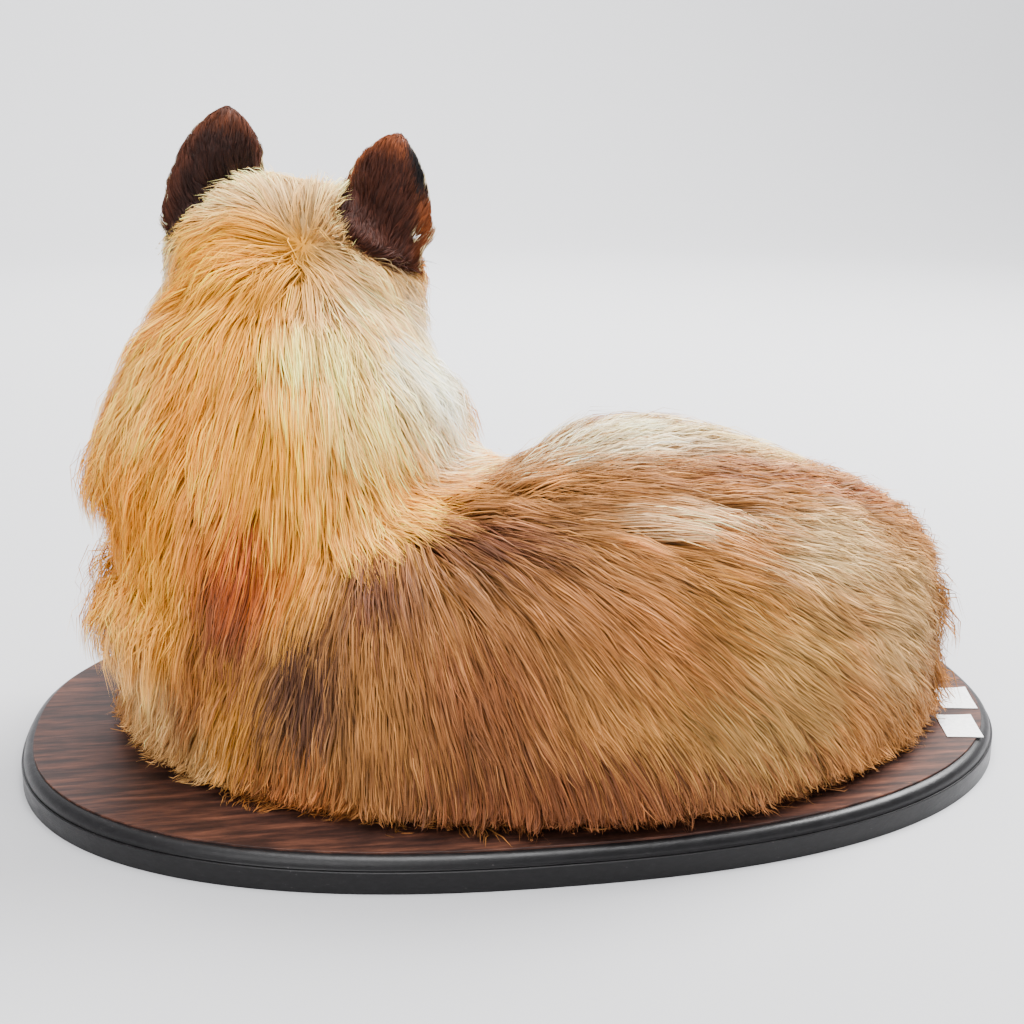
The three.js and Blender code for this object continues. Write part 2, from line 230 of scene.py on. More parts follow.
def buildBoard():
    piece = ovalFace(board["footEdge"], 0)
    stepIn(-board["footEdge"], board["footEdge"])
    liftFace(board["flat"] - board["footEdge"] - board["flatEdge"])
    stepIn(board["flatEdge"], board["flatEdge"])
    stepIn(board["ledge"], 0.0)
    liftFace(-board["grooveDepth"])
    stepIn(board["grooveWidth"], 0.0)
    liftFace(board["bead"])
    stepIn(board["beadEdge"], board["beadEdge"])
    angles = [math.radians(90 * i / board["roundSteps"]) for i in range(board["roundSteps"] + 1)]
    for before, after in zip(angles[:-1], angles[1:]):
        stepIn(board["round"] * (math.cos(before) - math.cos(after)),
               board["rise"] * (math.sin(after) - math.sin(before)))
    closeFoot()
    endEdit()
    mat, shader = newMaterial("boardPaint", "#121112", 0.32, Specular_IOR_Level=0.28)
    scuff = noise(mat, objectPlace(mat, (1, 1, 2.5)), 210.0, 6.0, 0.7)
    color = ramp(mat, scuff, [(0.35, "#0b0a0b"), (0.66, "#141314"), (0.8, "#5c5856")])
    link(mat, color, shader.inputs["Base Color"])
    wear = noise(mat, objectPlace(mat, (1, 1, 3)), 60.0, 5.0)
    link(mat, mapRange(mat, wear, To_Min=0.2, To_Max=0.5), shader.inputs["Roughness"])
    bump(mat, shader, scuff, 0.25, 0.0006)
    finishPiece(piece, "board", mat, "board_paint", "base_board")


def buildVeneer():
    piece = ovalFace(veneer["inset"], board["height"] - veneer["sunk"])
    liftFace(veneer["top"] - board["height"] + veneer["sunk"] - veneer["edge"])
    stepIn(veneer["edge"], veneer["edge"])
    closeFoot()
    endEdit()
    mat, shader = newMaterial("veneerWood", "#4a2c22", 0.5, Specular_IOR_Level=0.22)
    place = objectPlace(mat, (1.0, 9.0, 9.0), (0, 0, math.radians(-3)))
    grain = noise(mat, place, 26.0, 9.0, 0.68)
    color = ramp(mat, grain, [(0.28, "#120b09"), (0.45, "#2c1a15"), (0.56, "#45291f"), (0.74, "#6a4130")])
    chip = noise(mat, objectPlace(mat, (1.0, 6.0, 6.0), (0, 0, math.radians(4))), 48.0, 2.0, 0.5)
    chipShare = ramp(mat, chip, [(0.735, "#000000"), (0.76, "#ffffff")])
    near = addNode(mat, "ShaderNodeSeparateXYZ")  # chips lie along the near edge
    link(mat, objectPlace(mat), near.inputs["Vector"])
    edge = mapRange(mat, near.outputs["Y"], From_Min=board["chipsFrom"], From_Max=board["chipsTo"])
    both = addNode(mat, "ShaderNodeMath", operation="MULTIPLY")
    link(mat, chipShare, both.inputs[0])
    link(mat, edge, both.inputs[1])
    link(mat, colorMix(mat, both.outputs[0], color, rgba("#b0703f")), shader.inputs["Base Color"])
    bump(mat, shader, grain, 0.2, 0.0005)
    finishPiece(piece, "veneer", mat, "veneer", "base_veneer")


def buildCards():
    mat, shader = newMaterial("cardPaper", "#e6e6e4", 0.75)
    speck = noise(mat, objectPlace(mat), 420.0, 3.0)
    color = ramp(mat, speck, [(0.3, "#d9d9d6"), (0.6, "#eeeeec")])
    link(mat, color, shader.inputs["Base Color"])
    spin = Matrix.Rotation(math.radians(cards["turn"]), 3, "Z")
    for name in ("base_label_1", "base_label_2"):
        own = cards[name]
        deselect()
        bpy.ops.mesh.primitive_grid_add(x_subdivisions=8, y_subdivisions=12, size=1)
        piece = bpy.context.object
        for v in piece.data.vertices:  # the card's far corner lifts a little
            lift = own["curl"] * (max(0.0, v.co.x + 0.1) * max(0.0, v.co.y + 0.2)) ** 1.5 * cards["rise"]
            flat = Vector((v.co.x * cards["width"], v.co.y * cards["length"], lift))
            v.co = spin @ flat * mm + Vector((own["x"], own["y"], cards["over"])) * mm
        bpy.ops.object.modifier_add(type="SOLIDIFY")
        piece.modifiers[-1].thickness = cards["thick"] * mm
        piece.modifiers[-1].offset = 1
        bpy.ops.object.modifier_apply(modifier=piece.modifiers[-1].name)
        bpy.ops.object.shade_smooth_by_angle(angle=math.radians(30))
        finishPiece(piece, name.replace("base_label_", "card_"), mat, "label_paper", name)


buildBoard()
buildVeneer()
buildCards()
print("board, veneer and cards built")


# The fox's lines, in millimetres

backBend = {"x": 22, "y": 28, "halfLength": 172, "halfDepth": 116}
headPose = {"place": (-124, 8, 303), "turn": -18, "nod": -6, "tilt": 8}
tailLine = np.array([(192, 4, 98), (208, 48, 82), (208, 92, 69), (176, 126, 64), (120, 142, 63),
                     (50, 149, 63), (-20, 146, 58), (-66, 136, 50), (-90, 130, 46)], float)
eyes = {"radius": 7.6, "x": 25.5, "y": 47.5, "z": 3.2, "ahead": (0.66, 0.70, 0.26), "pupil": (1.5, 3.4)}

earShape = {"height": 77, "halfWidth": 34, "y": -4, "z": -5, "rake": 5,
            "left": {"x": 47, "lean": 1, "open": 22}, "right": {"x": 43, "lean": 6, "open": 6}}
whorl = (-124, -39, 317)
# The low edge of each ear's dark back: how high it lies at places across the ear.
earFoot = {"left": {"x": [-36, -22, -12, -4, 9, 22], "z": [-8, 4, 17, 30, 40, 52]},
           "right": {"x": [-24, -12, -5, 18, 30], "z": [38, 23, 17, 8, 6]}}

headTurn = np.array(Matrix.Rotation(math.radians(headPose["turn"]), 3, "Z")
                    @ Matrix.Rotation(math.radians(headPose["nod"]), 3, "X")
                    @ Matrix.Rotation(math.radians(headPose["tilt"]), 3, "Y"))
headPlace = np.array(headPose["place"], float)


def toHead(points):
    return (points - headPlace) @ headTurn


def fromHead(points):
    return np.asarray(points) @ headTurn.T + headPlace


def toEar(points, name):
    side = -1 if name == "left" else 1
    own = earShape[name]
    turn = np.array(Matrix.Rotation(math.radians(earShape["rake"]), 3, "X")
                    @ Matrix.Rotation(math.radians(side * own["lean"]), 3, "Y")
                    @ Matrix.Rotation(math.radians(-side * own["open"]), 3, "Z"))
    return (toHead(points) - (side * own["x"], earShape["y"], earShape["z"])) @ turn, turn


# What each part of the coat is like: depth and length of the hair in mm, width of a strand at its root,
# and how thickly the strands stand compared with the back.
earCoat = {"depth": 0.0, "length": 8, "width": 0.5, "dense": 3.0}
forelegCoat = {"depth": 4, "length": 13, "width": 0.6, "dense": 1.7}
pawCoat = {"depth": 1.5, "length": 7, "width": 0.5, "dense": 2.6}
coat = {
    "trunk": {"depth": 19, "length": 50, "width": 0.78, "dense": 1.0},
    "neck": {"depth": 22, "length": 50, "width": 0.7, "dense": 1.0},
    "head": {"depth": 9, "length": 20, "width": 0.55, "dense": 1.9},
    "ear_left": earCoat, "ear_right": earCoat,
    "foreleg_left": forelegCoat, "foreleg_right": forelegCoat,
    "forepaw_left": pawCoat, "forepaw_right": pawCoat,
    "hindleg_left": {"depth": 4, "length": 14, "width": 0.6, "dense": 1.5},
    "hindleg_right": {"depth": 8, "length": 26, "width": 0.7, "dense": 1.2},
    "hindpaw_left": pawCoat, "hindpaw_right": pawCoat,
    "tail_root": {"depth": 18, "length": 44, "width": 0.8, "dense": 1.0},
    "tail_brush": {"depth": 24, "length": 52, "width": 0.8, "dense": 1.05},
    "tail_tip": {"depth": 20, "length": 46, "width": 0.8, "dense": 1.1},
}
headInset = {"plain": 6, "cheek": 10, "rear": 9, "muzzle": 1.6, "eye": 1.4}
flesh = list(coat)


# Skin

def readMesh(piece):
    data = piece.data
    places = np.empty(len(data.vertices) * 3)
    data.vertices.foreach_get("co", places)
    edges = np.empty(len(data.edges) * 2, np.int64)
    data.edges.foreach_get("vertices", edges)
    data.calc_loop_triangles()
    tris = np.empty(len(data.loop_triangles) * 3, np.int64)
    data.loop_triangles.foreach_get("vertices", tris)
    return places.reshape(-1, 3) / mm, edges.reshape(-1, 2), tris.reshape(-1, 3)


def writePlaces(piece, places):
    piece.data.vertices.foreach_set("co", (places * mm).ravel())
    piece.data.update()


def normalsOf(places, tris):
    a, b, c = places[tris[:, 0]], places[tris[:, 1]], places[tris[:, 2]]
    faces = np.cross(b - a, c - a)
    out = np.zeros_like(places)
    for axis in range(3):
        for corner in range(3):
            out[:, axis] += np.bincount(tris[:, corner], faces[:, axis], len(places))
    return unit(out)


def averaged(values, edges, rounds, share=1.0):
    flat = values.reshape(len(values), -1)
    count = np.bincount(edges.ravel(), minlength=len(flat))[:, None].clip(1)
    for _ in range(rounds):
        near = np.stack([np.bincount(edges[:, 0], flat[edges[:, 1], i], len(flat))
                         + np.bincount(edges[:, 1], flat[edges[:, 0], i], len(flat))
                         for i in range(flat.shape[1])], axis=1) / count
        flat = flat * (1 - share) + near * share
    return flat.reshape(values.shape)


def remesh(piece, size):
    makeActive(piece)
    piece.data.remesh_voxel_size = size * mm
    piece.data.use_remesh_fix_poles = False
    bpy.ops.object.voxel_remesh()
    bpy.ops.object.mode_set(mode="EDIT")  # keep only the outer shell
    bpy.ops.mesh.select_mode(type="VERT")
    bpy.ops.mesh.select_all(action="DESELECT")
    bpy.ops.object.mode_set(mode="OBJECT")
    top = max(piece.data.vertices, key=lambda v: v.co.z)
    top.select = True
    bpy.ops.object.mode_set(mode="EDIT")
    bpy.ops.mesh.select_linked()
    bpy.ops.mesh.select_all(action="INVERT")
    bpy.ops.mesh.delete(type="VERT")
    bpy.ops.object.mode_set(mode="OBJECT")


skinShape = {"firstVoxel": 3.0, "voxel": 2.6, "fillRounds": 110, "fillShare": 0.9, "earInset": 2.0,
             "insetSteps": 6, "underSide": 45, "wideBlend": 36, "blend": 8, "depthBlend": 12, "lastBlend": 10}
fleshPlaces, fleshFaces, fleshOwner = [], [], []
copies = []
for number, name in enumerate(flesh):
    node = frame["nodes"][name]
    copy = node.copy()
    copy.data = node.data.copy()
    copy.parent = None
    copy.matrix_world = Matrix.Identity(4)
    bpy.context.collection.objects.link(copy)
    copies.append(copy)
    places, _, tris = readMesh(copy)
    start = sum(len(p) for p in fleshPlaces)
    fleshPlaces.append(places)
    fleshFaces.append(tris + start)
    fleshOwner.append(np.full(len(tris), number))
fleshPlaces, fleshFaces = np.concatenate(fleshPlaces), np.concatenate(fleshFaces)
fleshOwner = np.concatenate(fleshOwner)
fleshTree = BVHTree.FromPolygons(fleshPlaces.tolist(), fleshFaces.tolist())


def ownersOf(places):
    found = np.array([fleshTree.find_nearest(p)[2] for p in places.tolist()])
    return fleshOwner[found]


def shares(places, edges, rounds):
    hot = np.zeros((len(places), len(flesh)))
    hot[np.arange(len(places)), ownersOf(places)] = 1
    return averaged(hot, edges, rounds)


def shareOf(weights, *names):
    return weights[:, [flesh.index(name) for name in names]].sum(1)


def blended(weights, key):
    return weights @ np.array([coat[name][key] for name in flesh], float)


def earRoot(points, name):
    # the part of the head's own surface that looks like the ear's back
    x, y, z = toEar(points, name)[0].T
    low = np.interp(x, earFoot[name]["x"], earFoot[name]["z"])
    within = smooth((z - low) / 5 + 0.5) * smooth((38 - np.abs(x)) / 6)
    return within * smooth((6 - y) / 6) * smooth((80 - z) / 4)


def earRoots(points):
    return np.maximum(earRoot(points, "left"), earRoot(points, "right"))


def headDepth(local):
    x, y, z = np.abs(local[:, 0]), local[:, 1], local[:, 2]
    muzzle = smooth((y - 38) / 22)
    cheek = smooth((x - 30) / 30) * smooth((10 - z) / 30)
    rear = smooth((0 - y) / 35)
    fromEye = np.linalg.norm(np.stack([x, y, z], 1) - (eyes["x"], eyes["y"], eyes["z"]), axis=1)
    nearEye = smooth((26 - fromEye) / 14)
    deep = headInset["plain"] + headInset["cheek"] * cheek + headInset["rear"] * rear
    return toward(toward(deep, headInset["muzzle"], muzzle), headInset["eye"], nearEye)


makeActive(*copies)
bpy.ops.object.join()
skin = bpy.context.object
remesh(skin, skinShape["firstVoxel"])
places, edges, tris = readMesh(skin)
body = [flesh.index(n) for n in ("trunk", "neck", "head")]
wide = shares(places, edges, skinShape["wideBlend"])
bodyShare = wide[:, body].sum(1)
meeting = 1 - (wide[:, body] ** 2).sum(1) / bodyShare.clip(0.01) ** 2  # where trunk, neck and head meet
meeting = smooth(meeting / 0.35) * smooth((bodyShare - 0.6) / 0.3) * smooth((30 - toHead(places)[:, 1]) / 30)
for _ in range(skinShape["fillRounds"]):  # their steps are filled and rounded off
    places += (averaged(places, edges, 1) - places) * meeting[:, None] * skinShape["fillShare"]
weights = shares(places, edges, skinShape["blend"])
headShare = shareOf(weights, "head")
depth = toward(blended(weights, "depth"), headDepth(toHead(places)), headShare)
nearEar = smooth(shareOf(wide, "ear_left", "ear_right") * 5)
depth = depth + (skinShape["earInset"] - depth) * np.maximum(earRoots(places), nearEar) * headShare
depth = averaged(depth, edges, skinShape["depthBlend"])
soft = 1 - shareOf(weights, "ear_left", "ear_right")[:, None]
for i in range(skinShape["insetSteps"]):
    places = places + (averaged(places, edges, 1) - places) * soft * (0.9 if i < 2 else 0.5)
    normals = normalsOf(places, tris)
    under = smooth((-normals[:, 2] - 0.45) / 0.3) * (places[:, 2] < skinShape["underSide"])  # it stays low
    places = places - normals * (depth * (1 - under) / skinShape["insetSteps"])[:, None]
writePlaces(skin, places)
remesh(skin, skinShape["voxel"])
print("skin has", len(skin.data.vertices), "points")


# Face

lids = {"wide": 7.8, "high": 4.3, "proud": 1.3, "slant": 16, "squareness": 1.7, "flatten": 1.2, "gap": 1.4,
        "reach": 15}
mouthLine = np.array([(0, 123, -17.5), (6, 119, -19), (12, 108, -20.5), (17, 92, -21.5), (20.5, 76, -21.5),
                      (23, 62, -18.5)], float)
lipLine = np.array([(0, 124, -11), (0, 124, -17.5)], float)  # from the nose down to the mouth
mouthShape = {"reach": 2.8, "depth": 1.9, "lipReach": 1.8, "lipDepth": 0.9}


def refineFace():
    local = toHead(readMesh(skin)[0])
    eye = np.array([[s * eyes["x"], eyes["y"], eyes["z"]] for s in (-1, 1)])
    near = np.linalg.norm(local[:, None] - eye, axis=2).min(1) < 17
    near |= (local[:, 1] > 56) & (np.abs(local[:, 0]) < 34)
    near &= ownersOf(fromHead(local)) == flesh.index("head")
    for v, chosen in zip(skin.data.vertices, near.tolist()):
        v.select = chosen
    for group in (skin.data.edges, skin.data.polygons):
        for part in group:
            part.select = bool(near[list(part.vertices)].all())
    startEdit()
    bpy.ops.mesh.subdivide(number_cuts=1, smoothness=0.0)
    bpy.ops.object.mode_set(mode="OBJECT")


def eyeFrame(side):
    centre = np.array([side * eyes["x"], eyes["y"], eyes["z"]])
    ahead = unit(np.array(eyes["ahead"]) * (side, 1, 1))
    across = unit(np.cross(ahead, (0, 0, 1)) * -side)  # towards the outer corner
    across = unit(across - ahead * (across @ ahead))
    over = unit(np.cross(across, ahead) * (1 if np.cross(across, ahead)[2] > 0 else -1))
    slant = math.radians(lids["slant"])
    return (centre, ahead, across * math.cos(slant) + over * math.sin(slant),
            over * math.cos(slant) - across * math.sin(slant))


def lidMeasure(local, side):
    centre, ahead, across, over = eyeFrame(side)
    away = local - centre
    h, v, a = away @ across, away @ over, away @ ahead  # sideways, up and forward in the eye's own frame
    power = lids["squareness"]
    q = ((np.abs(h) / lids["wide"]) ** power + (np.abs(v) / lids["high"]) ** power) ** (1 / power)
    return away, q, a, np.hypot(h, v)  # q is 1 at the edge of the lids


def shapeFace(places, edges):
    local = toHead(places)
    for side in (-1, 1):
        away, q, a, off = lidMeasure(local, side)
        far = np.linalg.norm(away, axis=1)
        front = (a > -3) & (off < lids["reach"])
        rim = eyes["radius"] + lids["proud"] - lids["flatten"] * smooth((off - 7.5) / 5)
        target = np.where(q < 1, np.minimum(far, eyes["radius"] - lids["gap"]), np.maximum(far, rim))
        moved = away / far[:, None].clip(0.1) * target[:, None] + (local - away)
        local = np.where(front[:, None], moved, local)
    return fromHead(local)


def lineDistance(points, line):
    best = np.full(len(points), 1e9)
    for a, b in zip(line[:-1], line[1:]):
        t = np.clip(((points - a) @ (b - a)) / ((b - a) @ (b - a)), 0, 1)
        best = np.minimum(best, np.linalg.norm(points - a - t[:, None] * (b - a), axis=1))
    return best


def mouthShare(local):
    folded = np.c_[np.abs(local[:, 0]), local[:, 1:]]
    return (smooth(1 - lineDistance(folded, mouthLine) / mouthShape["reach"]),
            smooth(1 - lineDistance(folded, lipLine) / mouthShape["lipReach"]))


refineFace()
places, edges, tris = readMesh(skin)
isFace = smooth((toHead(places)[:, 1] - 30) / 10)[:, None]
places = places + (averaged(places, edges, 2) - places) * isFace
places = shapeFace(places, edges)
mouth, lip = mouthShare(toHead(places))
places -= normalsOf(places, tris) * (mouthShape["depth"] * mouth + mouthShape["lipDepth"] * lip)[:, None]
writePlaces(skin, places)
normals = normalsOf(places, tris)
weights = shares(places, edges, skinShape["lastBlend"])
print("face shaped,", len(tris), "skin triangles")


# Lie of the coat

def backAngle(points):
    angle = np.degrees(np.arctan2((points[:, 1] - backBend["y"]) / backBend["halfDepth"],
                                  (points[:, 0] - backBend["x"]) / backBend["halfLength"]))
    return np.where(angle < 90, angle + 360, angle)  # from 90 at the middle of the hidden side


def trunkFlow(points):
    angle = backAngle(points)
    turn = np.radians(angle)
    along = unit(np.stack([-np.sin(turn) * backBend["halfLength"], np.cos(turn) * backBend["halfDepth"],
                           np.zeros(len(turn))], axis=1))
    stops = [150, 205, 235, 250, 265, 280, 295, 320, 350, 400]
    # how steeply it falls, in degrees
    upper = np.interp(angle, stops, [86, 90, 88, 40, 12, 8, 8, 10, 14, 18])
    middle = np.interp(angle, stops, [92, 104, 104, 74, 58, 44, 36, 36, 30, 22])
    foot = np.interp(angle, stops, [92, 112, 100, 86, 80, 74, 64, 58, 48, 36])
    z = points[:, 2]
    fall = upper + (middle - upper) * smooth((200 - z) / 80) + (foot - middle) * smooth((110 - z) / 80)
    fall = np.radians(fall)
    down = np.array([0, 0, -1.0])
    return along * np.cos(fall)[:, None] + down * np.sin(fall)[:, None]


def neckFlow(points):
    x, y, z = points.T
    behind = smooth((10 - y) / 60)  # on the nape's side it fans out, and sweeps on along the back
    fan = np.interp(x, [-235, -190, -150, -115, -80, -40], [-0.16, -0.26, -0.18, 0.05, 0.3, 0.6])
    sweep = smooth((x + 112) / 60) * smooth((232 - z) / 45)
    flow = np.stack([(fan + 1.1 * sweep) * behind, -0.1 * behind, -1 + 0.3 * sweep * behind], axis=1)
    return unit(flow)


def headFlow(points):
    local = toHead(points)
    x, y, z = local.T
    side = np.sign(x)
    fromNose = unit(local - (0, 128, -2))
    cheek = smooth((np.abs(x) - 24) / 30) * smooth((20 - z) / 40)
    rear = smooth((6 - y) / 20)
    top = smooth((z - 12) / 16) * smooth((40 - y) / 30)
    flow = fromNose + np.stack([side * (0.25 * cheek + 0.1 * top), -0.3 * cheek - 0.5 * top,
                                0.5 * top - 0.5 * cheek], 1)
    fromWhorl = local - toHead(np.array([whorl], float))
    sinks = smooth((np.linalg.norm(fromWhorl, axis=1) - 24) / 40)[:, None]
    spread = unit(fromWhorl) + np.array([0, 0, -1.0]) * sinks
    return unit(toward(flow, spread, rear[:, None])) @ headTurn.T


def tailFlow(points):
    far = np.stack([lineDistance(points, pair) for pair in zip(tailLine[:-1], tailLine[1:])])
    return unit(np.diff(tailLine, axis=0))[far.argmin(0)] + np.array([0, 0, -0.12])


def earFlow(name):
    def lie(points):
        local, turn = toEar(points, name)
        flow = np.stack([local[:, 0] / 60, np.full(len(local), -0.05), np.ones(len(local))], 1)
        return unit(flow) @ turn.T @ headTurn.T
    return lie


def steady(direction):
    return lambda points: np.tile(unit(np.array(direction, float)), (len(points), 1))


flows = {
    "trunk": trunkFlow, "neck": neckFlow, "head": headFlow, "ear_left": earFlow("left"),
    "ear_right": earFlow("right"),
    "foreleg_left": steady((0.2, 1, -0.3)), "foreleg_right": steady((-0.1, 1, -0.3)),
    "forepaw_left": steady((0.2, 1, -0.1)), "forepaw_right": steady((-0.1, 1, -0.1)),
    "hindleg_left": steady((-1, 0.5, -0.2)), "hindleg_right": steady((-0.7, 0.45, -0.55)),
    "hindpaw_left": steady((-1, 0.1, -0.1)), "hindpaw_right": steady((-1, 0, -0.1)),
    "tail_root": tailFlow, "tail_brush": tailFlow, "tail_tip": tailFlow,
}
flow = sum(weights[:, [i]] * flows[name](places) for i, name in enumerate(flesh))
for name in ("left", "right"):
    share = (earRoot(places, name) * shareOf(weights, "head"))[:, None]
    flow = toward(flow, earFlow(name)(places), share)
for _ in range(6):
    flow = averaged(flow, edges, 3)
    flow = unit(flow - normals * (flow * normals).sum(1, keepdims=True))
print("lie of the coat laid out")


# Markings, with painted highlights and painted shade among them

# Soft-edged patches over the ground colour: place and reach in mm, colour, and strength. Most are the coat's
# own colours; the ones marked below are painted highlight or painted shade.
patches = [
    ("nape", (-108, -88, 260), (46, 50, 34), "#fddb9f", 0.95),
    # painted highlight: the near-white glow on the lit right side of the neck
    ("neckEdgePaintedGlow", (-50, -58, 236), (40, 70, 56), "#fdf5e0", 0.95),
    ("napeGold", (-168, -72, 278), (44, 50, 34), "#e4a75e", 0.8),
    ("leftNeck", (-222, -64, 226), (34, 64, 52), "#f3c186", 0.8),
    ("leftRust", (-194, -96, 222), (22, 40, 20), "#cf843f", 0.75),
    ("neckGold", (-145, -112, 206), (34, 40, 28), "#e2a45e", 0.8),
    ("rightGold", (-84, -100, 214), (42, 48, 24), "#f5d39a", 0.85),
    ("leftLow", (-218, -88, 172), (26, 54, 30), "#da9248", 0.85),
    ("neckPink", (-178, -118, 172), (26, 40, 22), "#d28d5a", 0.8),
    ("neckCream", (-134, -123, 174), (24, 40, 20), "#e5ae6e", 0.8),
    ("rust", (-164, -126, 146), (40, 44, 25), "#a34f22", 0.95),
    ("shoulderLine", (-172, -128, 116), (23, 40, 36), "#783a28", 0.9),
    ("shoulderSand", (-212, -102, 138), (20, 44, 20), "#d7a05c", 0.8),
    ("breastSide", (-224, -68, 66), (30, 60, 50), "#d2ac80", 0.95),
    ("elbowLine", (-192, -104, 84), (13, 40, 34), "#a0603e", 0.65),
    ("elbowGold", (-173, -124, 56), (20, 40, 30), "#b98045", 0.8),
    ("footPale", (-194, -104, 32), (28, 40, 16), "#cba578", 0.8),
    ("shoulderGold", (-128, -130, 152), (18, 34, 18), "#cb8c4e", 0.8),
    ("elbowDark", (-134, -148, 88), (30, 40, 36), "#43281e", 0.95),
    ("footRust", (-138, -140, 32), (44, 40, 16), "#96552f", 0.8),
    ("collar", (-98, -152, 140), (38, 38, 21), "#5f3422", 0.9),
    ("withers", (-88, -126, 174), (36, 40, 16), "#dfb074", 0.9),
    ("sideDark", (-40, -154, 166), (52, 34, 21), "#643826", 0.9),
    ("sideMid", (-9, -180, 140), (60, 44, 26), "#96633c", 0.85),
    ("sideBrown", (-45, -185, 95), (46, 40, 36), "#865033", 0.85),
    # painted shade: the lower flank, darker away from the top light
    ("sideLowPaintedShade", (-20, -190, 42), (136, 40, 26), "#6e3c24", 0.9),
    ("sideRear", (44, -190, 118), (34, 45, 30), "#a87147", 0.85),
    ("sideSand", (55, -196, 80), (34, 40, 26), "#b48454", 0.8),
    # painted highlight: the top of the back, nearly white under the light
    ("farBackPaintedHighlight", (40, -96, 216), (110, 46, 22), "#f8eacb", 1.0),
    ("farRump", (130, -66, 202), (50, 40, 26), "#ebd5ab", 0.9),
    ("paleLine", (92, -156, 178), (60, 14, 12), "#f0d3b0", 0.9),
    ("rump", (160, -140, 150), (50, 50, 26), "#cfb48c", 0.9),
    ("rumpGold", (88, -178, 140), (22, 40, 26), "#a8753f", 0.6),
    ("rumpMid", (131, -172, 108), (44, 44, 28), "#bc9665", 0.85),
    ("rumpRear", (208, -118, 100), (50, 66, 48), "#b99a70", 0.85),
    ("rumpLow", (119, -181, 66), (60, 40, 22), "#ae8b5c", 0.8),
    # painted shade: the foot of the rump, darker down by the board
    ("rumpFootPaintedShade", (110, -180, 26), (90, 60, 16), "#8c5a3a", 0.8),
    ("throat", (-104, 74, 215), (70, 48, 70), "#f3e8d2", 0.95),
    ("breast", (-122, 92, 120), (64, 60, 80), "#efe0c6", 0.95),
    ("belly", (40, 10, 60), (130, 42, 60), "#d9c3a0", 0.9),
]
stripe = {"reach": 15, "color": "#8c4f2e", "strength": 0.95, "least": 0.25, "from": 20, "over": 120,
          "line": np.array([(-40, -138, 182), (22, -149, 192), (54, -145, 198), (92, -134, 199),
                            (130, -113, 195), (172, -95, 179), (214, -66, 158)], float)}
# The two ears' ground colours differ only by painted shade on the left ear and painted light on the right
# ear.
ground = {
    "trunk": "#a67448", "neck": "#dfa365", "head": "#b2642f", "ear_left": "#2e1a15", "ear_right": "#3a2018",
    "foreleg_left": "#2c1c17", "foreleg_right": "#2c1c17",
    "forepaw_left": "#1f1512", "forepaw_right": "#1f1512",
    "hindleg_left": "#6b4029", "hindleg_right": "#bb7a44",
    "hindpaw_left": "#2a1a15", "hindpaw_right": "#2a1a15",
    "tail_root": "#b57a46", "tail_brush": "#a06c40", "tail_tip": "#f4ecdc",
}
# One ear colour in two copies: the left ear's darker back and rim are painted shade, the right ear's lighter
# rim and larger tip share painted light.
earTonesLitAndShaded = {"left": {"back": "#2c1812", "rim": "#5e3526", "tipShare": 0.3},
            "right": {"back": "#3f2016", "rim": "#96522f", "tipShare": 0.75}}
darkStreak = np.array([(20, 56, 0), (18, 78, -6), (17, 96, -9)], float)  # from the eye to the lip
tint = {"dark": 1.02, "pale": 1.45}  # how strong dark and pale colours are


def mixed(color, code, share):
    return color + (linear(code) - color) * np.clip(share, 0, 1)[:, None]


def faceColor(color, points, share):
    local = toHead(points)
    x, y, z = np.abs(local[:, 0]), local[:, 1], local[:, 2]
    made = mixed(color, "#f0d2a6", smooth((22 - y) / 26) * 0.95)  # crown and nape
    golden = smooth((0 - y) / 12) * smooth((20 - z) / 16) * smooth((local[:, 0] + 72) / 30)
    made = mixed(made, "#e0993f", golden * smooth((34 - local[:, 0]) / 26) * 0.75)  # below the whorl
    made = mixed(made, "#944c22", smooth((y - 30) / 25) * smooth((z + 8) / 10) * 0.7)  # bridge and brow
    line = np.interp(y, [-20, 10, 40, 60, 90, 120], [-6, -16, -18, -13, -9, -8])
    made = mixed(made, "#f4ecdd", smooth((line - z + 3) / 8) * smooth((y + 30) / 30))  # cheeks, lips and chin
    folded = np.stack([x, y, z], 1)
    made = mixed(made, "#54291a", smooth(1 - lineDistance(folded, darkStreak) / 7) * 0.75)
    made = mixed(made, "#17100d", smooth(1.4 - lineDistance(folded, mouthLine) / 2.6))
    return toward(color, made, share[:, None])


def earColor(color, points, facing, name, share):
    local, turn = toEar(points, name)
    t = np.clip(local[:, 2] / earShape["height"], 0, 1)
    across = local[:, 0] / (earShape["halfWidth"] * (1 - t ** 2.3) ** 0.72 + 1)
    middle = 1.2 - (20 * (1 - t) ** 0.55 - 2.5) * (1 - np.clip(across, -1, 1) ** 2)  # of its wall
    inside = smooth((local[:, 1] - middle) / 2 + 0.4) * smooth((0.97 - t) / 0.1)
    inside = inside * smooth(((facing @ headTurn @ turn)[:, 1] + 0.3) / 0.4)
    rim = smooth((np.abs(across) - 0.62) / 0.3)
    # these tones carry painted shade on the left ear and painted light on the right ear
    tones = earTonesLitAndShaded[name]
    made = mixed(np.tile(linear(tones["back"]), (len(points), 1)), tones["rim"], rim * 0.7)
    made = mixed(made, "#8a4a2c", smooth((t - 0.8) / 0.15) * tones["tipShare"])
    if name == "right":  # its outer edge is black near the tip
        made = mixed(made, "#15110f", smooth((across - 0.66) / 0.16) * smooth((t - 0.5) / 0.2))
    made = mixed(made, "#ecdcbc", inside * (0.55 + 0.45 * rim))
    return toward(color, made, share[:, None])
